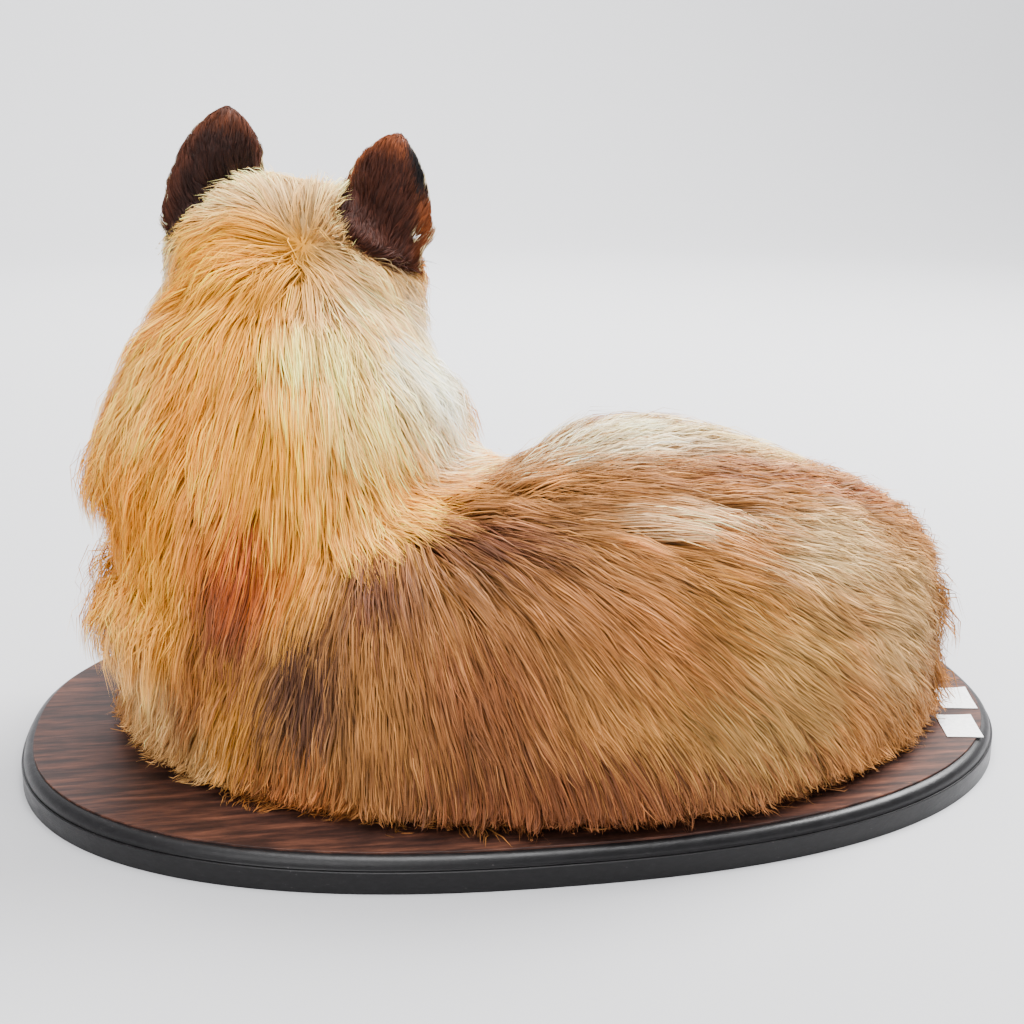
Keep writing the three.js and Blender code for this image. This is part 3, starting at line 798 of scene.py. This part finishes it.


# the coat's colours, with the patches' painted highlights and painted shade among them
def colorsAndPaintedLight(points, weights, facing):
    color = weights @ np.array([linear(ground[name]) for name in flesh])
    body = shareOf(weights, "trunk", "neck")
    headShare = shareOf(weights, "head")
    for _, at, reach, code, strength in patches:
        off = np.sqrt((((points - at) / reach) ** 2).sum(1))
        color = mixed(color, code, strength * smooth((1.25 - off) / 0.8) * body)
    line = smooth(1.2 - lineDistance(points, stripe["line"]) / stripe["reach"])
    rearward = smooth((points[:, 0] - stripe["from"]) / stripe["over"])
    fade = stripe["least"] + (1 - stripe["least"]) * rearward
    color = mixed(color, stripe["color"], line * stripe["strength"] * fade * body)
    color = faceColor(color, points, headShare)
    for name in ("left", "right"):
        share = smooth((shareOf(weights, "ear_" + name) - 0.12) / 0.35)
        share = np.maximum(share, np.clip(earRoot(points, name) * headShare * 3, 0, 1))
        color = earColor(color, points, facing, name, share)
    grey = color.mean(1, keepdims=True)
    strength = np.interp(grey, [0.06, 0.5], [tint["dark"], tint["pale"]])
    return (grey + (color - grey) * strength).clip(0.006, 0.98)


def paintSkin(color):
    local = toHead(places)
    tone = color * 0.62
    dark = mouth * 0.95
    for side in (-1, 1):
        _, q, a, off = lidMeasure(local, side)
        dark = np.maximum(dark, smooth((1.42 - q) / 0.3) * (a > -2) * (off < 12))
    noseShare = smooth((local[:, 1] - 118) / 4) * smooth((local[:, 2] + 18) / 4)
    tone = mixed(tone, "#120c0a", np.maximum(dark, noseShare))
    # the skin's colour, at 0.62 of the coat's, carries the same painted highlights and painted shade
    layer = skin.data.color_attributes.new("skinColorAndPaintedLight", "FLOAT_COLOR", "POINT")
    layer.data.foreach_set("color", np.c_[tone, np.ones(len(tone))].ravel())


paintSkin(colorsAndPaintedLight(places, weights, normals))
hide, shader = newMaterial("hide", "#7a5230", 0.85, Specular_IOR_Level=0.2)
skinColorAndPaintedLight = addNode(hide, "ShaderNodeAttribute", attribute_name="skinColorAndPaintedLight")
link(hide, skinColorAndPaintedLight.outputs["Color"], shader.inputs["Base Color"])
bump(hide, shader, noise(hide, objectPlace(hide), 900.0, 3.0), 0.5, 0.0008)
makeActive(skin)
for layer in list(skin.data.uv_layers):
    skin.data.uv_layers.remove(layer)
skin.data.uv_layers.new(name="OFBake")
bpy.ops.object.mode_set(mode="EDIT")
bpy.ops.mesh.select_all(action="SELECT")
bpy.ops.uv.smart_project(angle_limit=math.radians(72), island_margin=0.002)
bpy.ops.object.mode_set(mode="OBJECT")
bpy.ops.object.shade_smooth()
finishPiece(skin, "skin", hide, "coat_flank", *flesh)
print("skin painted and unwrapped")


# Coat

def neighboursOf(edges, count, most=8):
    both = np.concatenate([edges, edges[:, ::-1]])
    both = both[np.argsort(both[:, 0], kind="stable")]
    firsts = np.searchsorted(both[:, 0], np.arange(count))
    rank = np.arange(len(both)) - firsts[both[:, 0]]
    table = np.tile(np.arange(count)[:, None], (1, most))
    keep = rank < most
    table[both[keep, 0], rank[keep]] = both[keep, 1]
    return table


neighbours = neighboursOf(edges, len(places))
triNormal = np.cross(places[tris[:, 1]] - places[tris[:, 0]], places[tris[:, 2]] - places[tris[:, 0]])
triArea = np.linalg.norm(triNormal, axis=1) / 2
uvs = np.empty(len(skin.data.loops) * 2)
skin.data.uv_layers["OFBake"].data.foreach_get("uv", uvs)
uvs = uvs.reshape(-1, 2)
triLoops = np.empty(len(skin.data.loop_triangles) * 3, np.int64)
skin.data.calc_loop_triangles()
skin.data.loop_triangles.foreach_get("loops", triLoops)
triLoops = triLoops.reshape(-1, 3)
localPlaces = toHead(places)
headShare = shareOf(weights, "head")
headHair = {"length": 12, "cheekLength": 16, "rearLength": 28, "faceLength": 4.5, "width": 0.62,
            "faceWidth": 0.4, "dense": 1.7, "rearDense": 0.8, "faceDense": 5.0}
earHair = {"rootLength": 7, "tipExtra": 5, "depth": 2.4, "width": 0.5, "dense": 3.0, "aroundLength": 12,
           "aroundDepth": 4}


def coatMeasures():
    hair = {key: blended(weights, key) for key in ("depth", "length", "width", "dense")}
    face = smooth((localPlaces[:, 1] - 25) / 45)
    cheek = smooth((np.abs(localPlaces[:, 0]) - 30) / 25) * smooth((12 - localPlaces[:, 2]) / 30) * (1 - face)
    rear = smooth((6 - localPlaces[:, 1]) / 30)
    length = headHair["length"] + headHair["cheekLength"] * cheek + headHair["rearLength"] * rear
    length = toward(length, headHair["faceLength"], face)
    width = headHair["width"] + (headHair["faceWidth"] - headHair["width"]) * face
    dense = (headHair["dense"] + (headHair["rearDense"] - headHair["dense"]) * rear
             + (headHair["faceDense"] - headHair["dense"]) * face)
    head = {"length": length, "depth": headDepth(localPlaces), "width": width, "dense": dense}
    for key, values in head.items():
        hair[key] = toward(hair[key], values, headShare)
    ear = shareOf(weights, "ear_left", "ear_right")
    root = earRoots(places) * headShare
    around = smooth(averaged(ear[:, None], edges, 40)[:, 0] * 5) * (1 - ear) * headShare
    ear = np.clip(ear + root, 0, 1)
    heights = [toEar(places, name)[0][:, 2] / earShape["height"] for name in ("left", "right")]
    tip = smooth((np.max(heights, 0) - 0.82) / 0.12) * (ear > 0.5)
    hair["length"] = toward(hair["length"], earHair["aroundLength"], around)
    hair["depth"] = toward(hair["depth"], earHair["aroundDepth"], around)
    hair["length"] = toward(hair["length"], earHair["rootLength"], root) + earHair["tipExtra"] * tip
    hair["depth"] = toward(hair["depth"], earHair["depth"], ear)
    hair["width"] = toward(hair["width"], earHair["width"], root)
    hair["dense"] = toward(hair["dense"], earHair["dense"], root)
    nearFloor = smooth((places[:, 2] - 20) / 18) * (1 - headShare)
    hair["dense"] = hair["dense"] * (0.15 + 0.85 * np.maximum(nearFloor, headShare))
    hair["ear"] = ear
    return hair


def bareSkin():
    bare = (mouth > 0.4) | ((normals[:, 2] < -0.55) & (places[:, 2] < 32))
    bare |= (localPlaces[:, 1] > 119) & (localPlaces[:, 2] > -17) & (headShare > 0.5)
    for side in (-1, 1):
        _, q, a, off = lidMeasure(localPlaces, side)
        bare |= (q < 1.35) & (a > -2) & (off < 13)
    return bare.astype(float)


hair = coatMeasures()
bare = bareSkin()
tippedNodes = ("trunk", "tail_root", "tail_brush")  # where some hairs have dark tips
groups = {
    "head": {"nodes": ["head"], "locks": 66000, "levels": 3},
    "ears": {"nodes": ["ear_left", "ear_right"], "locks": 18000, "levels": 2},
    "neck": {"nodes": ["neck"], "locks": 60000, "levels": 3},
    "trunk": {"nodes": ["trunk"], "locks": 108000, "levels": 3},
    "tail": {"nodes": ["tail_root", "tail_brush", "tail_tip"], "locks": 26000, "levels": 3},
    "legs": {"nodes": [n for n in flesh if "leg" in n or "paw" in n], "locks": 24000, "levels": 3},
}
slotNames = {"ears": "coat_dark", "legs": "coat_dark", "neck": "coat_red", "head": "coat_red",
             "tail": "coat_red", "trunk": "coat_flank"}
lay = {"spread": 0.12, "roll": 24, "clump": 0.62, "locksPerClump": 24, "wideClump": 12, "bakePatch": 0.003,
       "floor": 20.6, "overFloor": 7, "fringe": 0.22, "guards": 0.05, "guardLength": 1.25, "guardWidth": 0.6,
       "sunk": 0.3, "pieceTriangles": 195000}


def hop(current, target):
    for _ in range(5):
        near = neighbours[current]
        off = ((places[near] - target[:, None]) ** 2).sum(2)
        best = off.argmin(1)
        nearer = off[np.arange(len(best)), best] < ((places[current] - target) ** 2).sum(1)
        current = np.where(nearer, near[np.arange(len(best)), best], current)
    return current


def growLocks(count, members, levels):
    chance = triArea * hair["dense"][tris].mean(1) * members[tris].min(1) * (1 - bare[tris].max(1))
    picked = rng.choice(len(tris), count, p=chance / chance.sum())
    u, v = rng.random(count), rng.random(count)
    flip = u + v > 1
    u[flip], v[flip] = 1 - u[flip], 1 - v[flip]
    bary = np.stack([1 - u - v, u, v], 1)
    root = (places[tris[picked]] * bary[:, :, None]).sum(1)
    patch = (uvs[triLoops[picked]] * bary[:, :, None]).sum(1)
    current = tris[picked, bary.argmax(1)]
    up = normals[current]
    guard = rng.random(count) < lay["guards"]  # long thin hairs that stand out a little
    longer = np.where(guard, lay["guardLength"], 1.0)
    length = hair["length"][current] * rng.uniform(0.62, 1.18, count) * longer
    layer = rng.uniform(0.3, 1.08, count) ** 0.8 * longer
    layer *= 0.3 + 0.7 * smooth((root[:, 2] - 20) / 36)  # the lowest hair lies under the rest
    own = hair["ear"][current] > 0.4
    scatter = lay["spread"] * np.clip(hair["length"][current] / 30, 0.45, 1)
    heading = unit(flow[current] + rng.normal(0, 1, (count, 3)) * scatter[:, None])
    landing = lay["floor"] + rng.random(count) ** 2 * lay["overFloor"]  # the height it comes to lie at
    path, ups, base, out = [root - up * lay["sunk"]], [up], root, up
    for k in range(1, levels + 1):
        step = length / levels
        rise = hair["depth"][current] * layer * min(1.0, 1.25 * (k / levels) ** 0.62)
        away = unit(out * (1, 1, 0) + 1e-9)
        lands = base[:, 2] + heading[:, 2] * step < landing
        drop = np.clip((landing - base[:, 2]) / step, -1, 0.6)
        aside = unit(heading * (1, 1, 0) * 0.5 + away)
        flatter = unit(aside * np.sqrt(1 - drop ** 2)[:, None] + drop[:, None] * (0, 0, 1))
        heading = np.where(lands[:, None], flatter, heading)
        step = np.where(lands, step * lay["fringe"], step)
        base = base + heading * step[:, None]
        moved = hop(current, base)
        held = (hair["ear"][moved] > 0.45) & ~own  # hair of the head stops at the ear
        base = np.where(held[:, None], base - heading * step[:, None] * 0.8, base)
        moved = np.where(held, current, moved)
        n = normals[moved]
        over = ((base - places[moved]) * n).sum(1)
        # it lies on the board, or hangs past what draws in under it
        free = lands | ((n[:, 2] < -0.15) & (over > 0) & (base[:, 1] < 40))
        current = np.where(free, current, moved)
        n = normals[current]
        base = np.where(free[:, None], base, base - n * ((base - places[current]) * n).sum(1, keepdims=True))
        out = np.where(free[:, None], out * (1, 1, 0.6), n)
        path.append(base + out * rise[:, None])
        ups.append(np.where(lands[:, None], unit(out + (0, 0, 1.5)), out))
        hanging = np.where(lands[:, None], heading, unit(heading * (0.55, 0.55, 1) + (0, 0, -0.5)))
        heading = np.where(free[:, None], hanging, unit(heading * 0.5 + flow[current] * 0.5))
    return np.stack(path, 1), np.stack(ups, 1), patch, picked, bary, guard


def gather(path, perClump, amount, power):
    guides = rng.choice(len(path), max(2, len(path) // perClump), replace=False)
    tree = KDTree(len(guides))
    for i, g in enumerate(guides.tolist()):
        tree.insert(path[g, 0], i)
    tree.balance()
    own = np.array([tree.find(p)[1] for p in path[:, 0].tolist()])
    guide = path[guides[own]]
    share = np.linspace(0, 1, path.shape[1]) ** power
    strength = amount * rng.uniform(0.5, 1.25, len(guides))[own]
    pulled = path + (guide - path) * (share[None, :] * strength[:, None])[:, :, None].clip(0, 0.95)
    return pulled, own


def lockMesh(name, path, ups, width, color, patch):
    count, levels = path.shape[0], path.shape[1] - 1
    ahead = unit(np.diff(path, axis=1, append=path[:, -1:] * 2 - path[:, -2:-1]))
    across = unit(np.cross(ahead, ups))
    roll = np.radians(rng.normal(0, lay["roll"], count))[:, None, None]
    across = across * np.cos(roll) + np.cross(ahead, across) * np.sin(roll)
    share = np.linspace(0, 1, levels + 1)
    taper = (0.8 + 0.5 * share) * (1 - share ** 2.2)
    half = across * (width[:, None] * taper[None, :] / 2)[:, :, None]
    left, right = (path - half)[:, :levels], (path + half)[:, :levels]
    points = np.concatenate([np.stack([left, right], 2).reshape(count, levels * 2, 3), path[:, -1:]], 1)
    size = levels * 2 + 1
    quads = np.array([[2 * k, 2 * k + 1, 2 * k + 3, 2 * k + 2] for k in range(levels - 1)]).ravel()
    pattern = np.concatenate([quads, [2 * levels - 2, 2 * levels - 1, 2 * levels]]).astype(np.int64)
    corners = (np.arange(count)[:, None] * size + pattern[None]).ravel()
    sides = np.tile(np.array([4] * (levels - 1) + [3]), count)
    starts = np.concatenate([[0], np.cumsum(sides)[:-1]])
    data = bpy.data.meshes.new(name)
    data.vertices.add(count * size)
    data.vertices.foreach_set("co", (points * mm).ravel())
    data.loops.add(len(corners))
    data.loops.foreach_set("vertex_index", corners)
    data.polygons.add(len(sides))
    data.polygons.foreach_set("loop_start", starts)
    data.polygons.foreach_set("use_smooth", np.ones(len(sides), bool))
    layer = data.color_attributes.new("hairColor", "BYTE_COLOR", "POINT")
    tones = np.concatenate([np.repeat(color[:, :levels], 2, axis=1), color[:, -1:]], 1)
    tones = np.concatenate([tones, np.ones((*tones.shape[:2], 1))], 2)
    layer.data.foreach_set("color", tones.ravel())
    reach = lay["bakePatch"]
    spots = np.zeros((count, size, 2))
    spots[:, :, 0] = np.array([-0.5, 0.5] * levels + [0.0])[None] * reach * 0.9
    spots[:, :, 1] = np.append(np.repeat(share[:levels], 2), 1.0)[None] * reach - reach / 2
    spots += patch[:, None]
    unwrap = data.uv_layers.new(name="OFBake")
    unwrap.data.foreach_set("uv", spots.reshape(-1, 2)[corners].ravel())
    data.update(calc_edges=True)
    piece = bpy.data.objects.new(name, data)
    bpy.context.collection.objects.link(piece)
    return piece


# Tones from root to tip: the darker roots are partly the hair's own darker base and partly painted shade
# between the locks; tips above one are partly paler tips and partly painted glow.
hairTones = {"shares": [0, 0.35, 0.8, 1], "tones": [0.5, 0.78, 1.05, 1.16], "blur": 3.0, "ahead": 0.2,
             "uneven": 0.2, "unevenClump": 0.14, "unevenPatch": 0.09, "warmth": 0.07, "tipped": 0.24,
             "tippedGuard": 0.5, "tip": "#4a2a1a", "tipShare": 0.55}


def hairColors(path, picked, bary, clump, own, guard):
    count, levels = path.shape[:2]
    spots = (weights[tris[picked]] * bary[:, :, None]).sum(1)
    facing = (normals[tris[picked]] * bary[:, :, None]).sum(1)
    whole = path[:, -1] - path[:, 0]
    drift = rng.uniform(0.1, 0.95, (count, 1)) * (1 - shareOf(spots, "head")[:, None] * 0.9)
    blurred = rng.normal(0, hairTones["blur"], (count, 3)) * shareOf(spots, "trunk", "neck")[:, None]
    start = path[:, 0] + whole * drift + blurred  # strands carry their colour past each patch
    root = colorsAndPaintedLight(start, spots, facing)
    end = colorsAndPaintedLight(start + whole * hairTones["ahead"], spots, facing)
    shade = np.exp(rng.normal(0, hairTones["uneven"], count))
    shade = shade * np.exp(rng.normal(0, hairTones["unevenClump"], clump.max() + 1))[clump]
    shade *= np.exp(rng.normal(0, hairTones["unevenPatch"], own.max() + 1))[own]
    warm = rng.normal(0, hairTones["warmth"], count)[:, None] * np.array([0.3, 0.0, -0.9])
    share = np.linspace(0, 1, levels)[None, :, None]
    # darker roots partly painted shade between locks, brighter tips partly painted glow
    tone = np.interp(share, hairTones["shares"], hairTones["tones"])
    color = toward(root[:, None], end[:, None], share) * tone
    color *= (shade[:, None] * (1 + warm))[:, None]
    chance = (hairTones["tipped"] + hairTones["tippedGuard"] * guard) * shareOf(spots, *tippedNodes)
    tipped = (rng.random(count) < chance)[:, None, None] * smooth((share - 0.5) / 0.35)
    color = color + (linear(hairTones["tip"]) - color) * tipped * hairTones["tipShare"]
    return color.clip(0.003, 0.95)


hairMat, shader = newMaterial("coatHair", "#a06a3c", 0.55, Specular_IOR_Level=0.16)
hairTone = addNode(hairMat, "ShaderNodeAttribute", attribute_name="hairColor")
link(hairMat, hairTone.outputs["Color"], shader.inputs["Base Color"])

owner = weights.argmax(1)
total = 0
for groupName, group in groups.items():
    members = np.isin(owner, [flesh.index(n) for n in group["nodes"]]).astype(float)
    count = group["locks"] // 1
    path, ups, patch, picked, bary, guard = growLocks(count, members, group["levels"])
    width = hair["width"][tris[picked, 0]] * rng.uniform(0.7, 1.25, count) * 1.0
    width[guard] *= lay["guardWidth"]
    path, clump = gather(path, lay["locksPerClump"], lay["clump"], 1.3)
    path, own = gather(path, lay["locksPerClump"] * lay["wideClump"], lay["clump"] * 0.3, 1.6)
    path[:, :, 2] = np.maximum(path[:, :, 2], lay["floor"])
    color = hairColors(path, picked, bary, clump, own, guard)
    perPiece = lay["pieceTriangles"] // (2 * group["levels"] - 1)
    order = np.argsort(path[:, 0, 0])
    for i, chosen in enumerate(np.array_split(order, math.ceil(count / perPiece))):
        label = f"coat_{groupName}_{i + 1}"
        piece = lockMesh(label, path[chosen], ups[chosen], width[chosen], color[chosen], patch[chosen])
        finishPiece(piece, label, hairMat, slotNames[groupName])
        total += len(chosen) * (2 * group["levels"] - 1)
print("coat has", total, "triangles")


# Eyes, nose, whiskers and claws

def buildEye(side, name):
    centre, ahead, across, over = eyeFrame(side)
    deselect()
    bpy.ops.mesh.primitive_uv_sphere_add(segments=64, ring_count=40, radius=eyes["radius"] * mm)
    piece = bpy.context.object
    facing = Matrix(np.stack([across, over, ahead], 1).tolist())
    whole = Matrix(headTurn.tolist()) @ facing
    middle = Vector(fromHead(centre)) * mm
    piece.data.transform(Matrix.Translation(middle) @ whole.to_4x4())
    bpy.ops.object.shade_smooth()
    mat, shader = newMaterial("eyeGlass_" + name, "#5a2d0c", 0.06, Specular_IOR_Level=0.6, Coat_Weight=1.0,
                              Coat_Roughness=0.02)
    place = addNode(mat, "ShaderNodeTexCoord")
    mapping = addNode(mat, "ShaderNodeMapping", vector_type="TEXTURE", Location=middle,
                      Rotation=whole.to_euler(), Scale=(mm, mm, mm))
    link(mat, place.outputs["Object"], mapping.inputs["Vector"])
    parts = addNode(mat, "ShaderNodeSeparateXYZ")
    link(mat, mapping.outputs["Vector"], parts.inputs["Vector"])

    def ring(wide, high):
        both = addNode(mat, "ShaderNodeCombineXYZ")
        for axis, reach in (("X", wide), ("Y", high)):
            part = addNode(mat, "ShaderNodeMath", operation="DIVIDE")
            part.inputs[1].default_value = reach
            link(mat, parts.outputs[axis], part.inputs[0])
            link(mat, part.outputs[0], both.inputs[axis])
        far = addNode(mat, "ShaderNodeVectorMath", operation="LENGTH")
        link(mat, both.outputs[0], far.inputs[0])
        return far.outputs["Value"]

    iris = ramp(mat, ring(10, 10), [(0.10, "#9a5a18"), (0.36, "#84440f"), (0.5, "#4e2406"), (0.6, "#140903"),
                                    (0.7, "#0a0605")])
    pupil = ramp(mat, ring(*eyes["pupil"]), [(0.88, "#000000"), (1.0, "#ffffff")])
    link(mat, colorMix(mat, 1.0, iris, pupil, "MULTIPLY"), shader.inputs["Base Color"])
    finishPiece(piece, "glassEye_" + name, mat, "eye_glass", "eye_" + name)


noseShape = {"halves": (10.2, 8.6, 8.0), "boxy": (0.85, 0.9, 0.85), "place": (0, 118.6, -6.0), "taper": 0.22,
             "pit": (4.4, 125.8, -6.6), "pitReach": (2.6, 5.0, 2.2), "pitDepth": 3.6,
             "slitEnd": (8.6, 121.5, -7.6), "slitDepth": 1.1, "cleft": 0.9}


def buildNose():
    deselect()
    bpy.ops.mesh.primitive_uv_sphere_add(segments=72, ring_count=48, radius=1)
    piece = bpy.context.object
    data = np.array([v.co for v in piece.data.vertices])
    local = np.sign(data) * np.abs(data) ** np.array(noseShape["boxy"]) * noseShape["halves"]
    local[:, 0] *= 1 - noseShape["taper"] * smooth((-local[:, 2] - 1) / 7)  # narrower below
    local += noseShape["place"]
    for side in (-1, 1):
        pit, slitEnd = (np.array(noseShape[key]) * (side, 1, 1) for key in ("pit", "slitEnd"))
        off = np.linalg.norm((local - pit) / noseShape["pitReach"], axis=1)
        local[:, 1] -= noseShape["pitDepth"] * smooth(1.25 - off)
        slit = smooth(1 - lineDistance(local, np.array([pit, slitEnd])) / 1.6)
        local[:, 0] -= side * noseShape["slitDepth"] * slit
    cleft = smooth(1 - np.abs(local[:, 0]) / noseShape["cleft"]) * smooth((local[:, 1] - 121) / 3)
    local[:, 1] -= noseShape["cleft"] * cleft * (local[:, 2] < -3)
    piece.data.vertices.foreach_set("co", (fromHead(local) * mm).ravel())
    bpy.ops.object.shade_smooth()
    mat, shader = newMaterial("noseLeather", "#15100e", 0.42, Specular_IOR_Level=0.5)
    pebble = addNode(mat, "ShaderNodeTexVoronoi", Scale=1400.0)
    link(mat, objectPlace(mat), pebble.inputs["Vector"])
    bump(mat, shader, pebble.outputs["Distance"], 0.5, 0.0004)
    finishPiece(piece, "noseTip", mat, "nose_pad", "nose")


whisker = {"rows": 4, "each": 4, "overEye": 3, "long": (38, 62), "short": (16, 26), "width": 0.55,
           "droop": 0.12}


def taperedHairs(name, roots, headings, lengths, sections=8, sides=4):
    points, faces = [], []
    for root, heading, length in zip(roots, headings, lengths):
        side = unit(np.cross(heading, (0.1, 0.2, 1.0)))
        over = np.cross(side, heading)
        first = len(points)
        for k in range(sections + 1):
            t = k / sections
            middle = root + heading * length * t + np.array([0, 0, -1.0]) * whisker["droop"] * length * t * t
            size = whisker["width"] * (1 - t) ** 0.7 / 2 + 0.02
            points += [middle + (side * math.cos(a) + over * math.sin(a)) * size
                       for a in np.linspace(0, 2 * math.pi, sides, endpoint=False)]
        for k in range(sections):
            for s in range(sides):
                a, b = first + k * sides + s, first + k * sides + (s + 1) % sides
                faces.append((a, b, b + sides, a + sides))
        faces += [tuple(range(first + sides - 1, first - 1, -1)),
                  tuple(range(first + sections * sides, first + (sections + 1) * sides))]
    data = bpy.data.meshes.new(name)
    data.from_pydata([tuple(p * mm) for p in points], [], faces)
    piece = bpy.data.objects.new(name, data)
    bpy.context.collection.objects.link(piece)
    for polygon in data.polygons:
        polygon.use_smooth = True
    return piece


def buildWhiskers():
    roots, headings, isLong = [], [], []
    for side in (-1, 1):
        isLong += [True] * whisker["rows"] * whisker["each"] + [False] * whisker["overEye"]
        for row in range(whisker["rows"]):
            for i in range(whisker["each"]):
                roots.append((side * (14.5 + i * 1.2), 106 - i * 7.5 + row, -3.5 - row * 3.4))
                headings.append((side * (0.95 + 0.1 * rng.random()), -0.3 - 0.16 * i, 0.2 - 0.22 * row))
        for i in range(whisker["overEye"]):
            roots.append((side * (20 + i * 3), 50 - i * 2, 14 + i))
            headings.append((side * 0.6, 0.2, 1.0))
    roots, headings = np.array(roots, float), unit(np.array(headings, float))
    lengths = np.where(isLong, rng.uniform(*whisker["long"], len(roots)),
                       rng.uniform(*whisker["short"], len(roots)))
    piece = taperedHairs("whiskers", fromHead(roots), headings @ headTurn.T, lengths)
    mat, _ = newMaterial("whiskerHair", "#14100e", 0.4)
    finishPiece(piece, "whiskers", mat, "coat_dark")


# Each paw's half width, length, height, heading in degrees, and place on the board.
paws = [(19, 52, 27, -14, (-159, 128)), (19, 52, 27, 6, (-103, 128)), (18, 52, 26, 94, (80, 102)),
        (17, 48, 24, 84, (38, 71))]
clawShape = {"across": (-1, -0.36, 0.36, 1), "radius": 1.7, "tip": 0.25, "length": 12, "reach": 11,
             "thin": 0.7, "curve": 3.4, "floor": 19.1}


def buildClaws():
    mat, shader = newMaterial("clawHorn", "#3a2d25", 0.35, Specular_IOR_Level=0.5)
    streak = noise(mat, objectPlace(mat), 500.0, 3.0)
    tone = ramp(mat, streak, [(0.35, "#1f1814"), (0.7, "#5a483a")])
    link(mat, tone, shader.inputs["Base Color"])
    made = []
    for halfWidth, length, height, heading, (x, y) in paws:
        spin = Matrix.Rotation(math.radians(heading), 3, "Z")
        for across in clawShape["across"]:
            deselect()
            bpy.ops.mesh.primitive_cone_add(vertices=12, radius1=clawShape["radius"],
                                            radius2=clawShape["tip"], depth=clawShape["length"])
            claw = bpy.context.object
            startEdit()
            bpy.ops.mesh.select_all(action="SELECT")
            bpy.ops.mesh.subdivide(number_cuts=3)
            bpy.ops.object.mode_set(mode="OBJECT")
            start = Vector((across * halfWidth * 0.72, length * (1.08 - 0.1 * abs(across)) - 5,
                            height * 0.34))
            for v in claw.data.vertices:  # cone along +Z, laid along the toe and curved down
                t = v.co.z / clawShape["length"] + 0.5
                laid = Vector((v.co.x * clawShape["thin"], t * clawShape["reach"],
                               v.co.y - clawShape["curve"] * t * t))
                v.co = (spin @ (start + laid) + Vector((x, y, clawShape["floor"]))) * mm
            made.append(claw)
    makeActive(*made)
    bpy.ops.object.join()
    startEdit()
    endEdit(60)
    finishPiece(bpy.context.object, "claws", mat, "coat_dark")


for side, name in ((-1, "left"), (1, "right")):
    buildEye(side, name)
buildNose()
buildWhiskers()
buildClaws()
print("eyes, nose, whiskers and claws built")


# Studio

studio = {"paper": "#afafb1", "world": "#f0f1f4", "worldPower": 1.7, "flat": 2.6, "bend": 1.6, "rise": 3.0,
          "bendSteps": 10}
lights = {"keyLight": {"place": (1.3, 0.7, 1.8), "target": (0, 0, 0.15), "size": 1.2, "power": 185},
          "fillLight": {"place": (-1.2, -2.0, 1.5), "target": (0, 0, 0.15), "size": 1.8, "power": 46},
          "topLight": {"place": (0.0, -0.3, 2.3), "target": (0, 0, 0.1), "size": 1.4, "power": 95},
          "wallLight": {"place": (0.0, 1.8, 2.2), "target": (0, 3.6, 0.3), "size": 1.6, "power": 230}}
view = {"lens": 55, "sensor": 36, "place": (-0.1412, -0.909, 0.4088), "down": 16.21, "turn": -8.771}


def areaLight(name, place, target, size, power):
    lamp = bpy.data.lights.new(name, "AREA")
    lamp.size, lamp.energy = size, power
    light = bpy.data.objects.new(name, lamp)
    light.location = place
    light.rotation_euler = (Vector(target) - Vector(place)).to_track_quat("-Z", "Y").to_euler()
    bpy.context.collection.objects.link(light)


deselect()
bpy.ops.mesh.primitive_circle_add(vertices=96, radius=studio["flat"], fill_type="NGON")
backdrop = bpy.context.object  # a round floor whose rim sweeps up into walls
startEdit()
bpy.ops.mesh.select_all(action="SELECT")
bpy.ops.mesh.normals_make_consistent(inside=False)
bpy.ops.mesh.select_mode(type="EDGE")
bpy.ops.mesh.select_all(action="DESELECT")
bpy.ops.mesh.select_non_manifold()
for i in range(1, studio["bendSteps"] + 1):
    angles = [math.radians(90 * k / studio["bendSteps"]) for k in (i - 1, i)]
    radii = [studio["flat"] + studio["bend"] * math.sin(a) for a in angles]
    lift = studio["bend"] * (math.cos(angles[0]) - math.cos(angles[1]))
    bpy.ops.mesh.extrude_edges_move(TRANSFORM_OT_translate={"value": (0, 0, lift)})
    bpy.ops.transform.resize(value=(radii[1] / radii[0], radii[1] / radii[0], 1), center_override=(0, 0, 0))
bpy.ops.mesh.extrude_edges_move(TRANSFORM_OT_translate={"value": (0, 0, studio["rise"])})
bpy.ops.object.mode_set(mode="OBJECT")
bpy.ops.object.shade_smooth()
backdrop.name = "backdrop"
paper, _ = newMaterial("backdropPaper", studio["paper"], 0.9, Specular_IOR_Level=0.1)
backdrop.data.materials.append(paper)

world = bpy.data.worlds.new("studio")
bpy.context.scene.world = world
world.use_nodes = True
world.node_tree.nodes["Background"].inputs["Color"].default_value = rgba(studio["world"])
world.node_tree.nodes["Background"].inputs["Strength"].default_value = studio["worldPower"]
for name, settings in lights.items():
    areaLight(name, **settings)

camera = bpy.data.objects.new("camera", bpy.data.cameras.new("camera"))
camera.data.lens = view["lens"]
camera.data.sensor_width = view["sensor"]
camera.location = view["place"]
camera.rotation_euler = Euler((math.radians(90 - view["down"]), 0, math.radians(view["turn"])))
bpy.context.collection.objects.link(camera)
bpy.context.scene.camera = camera
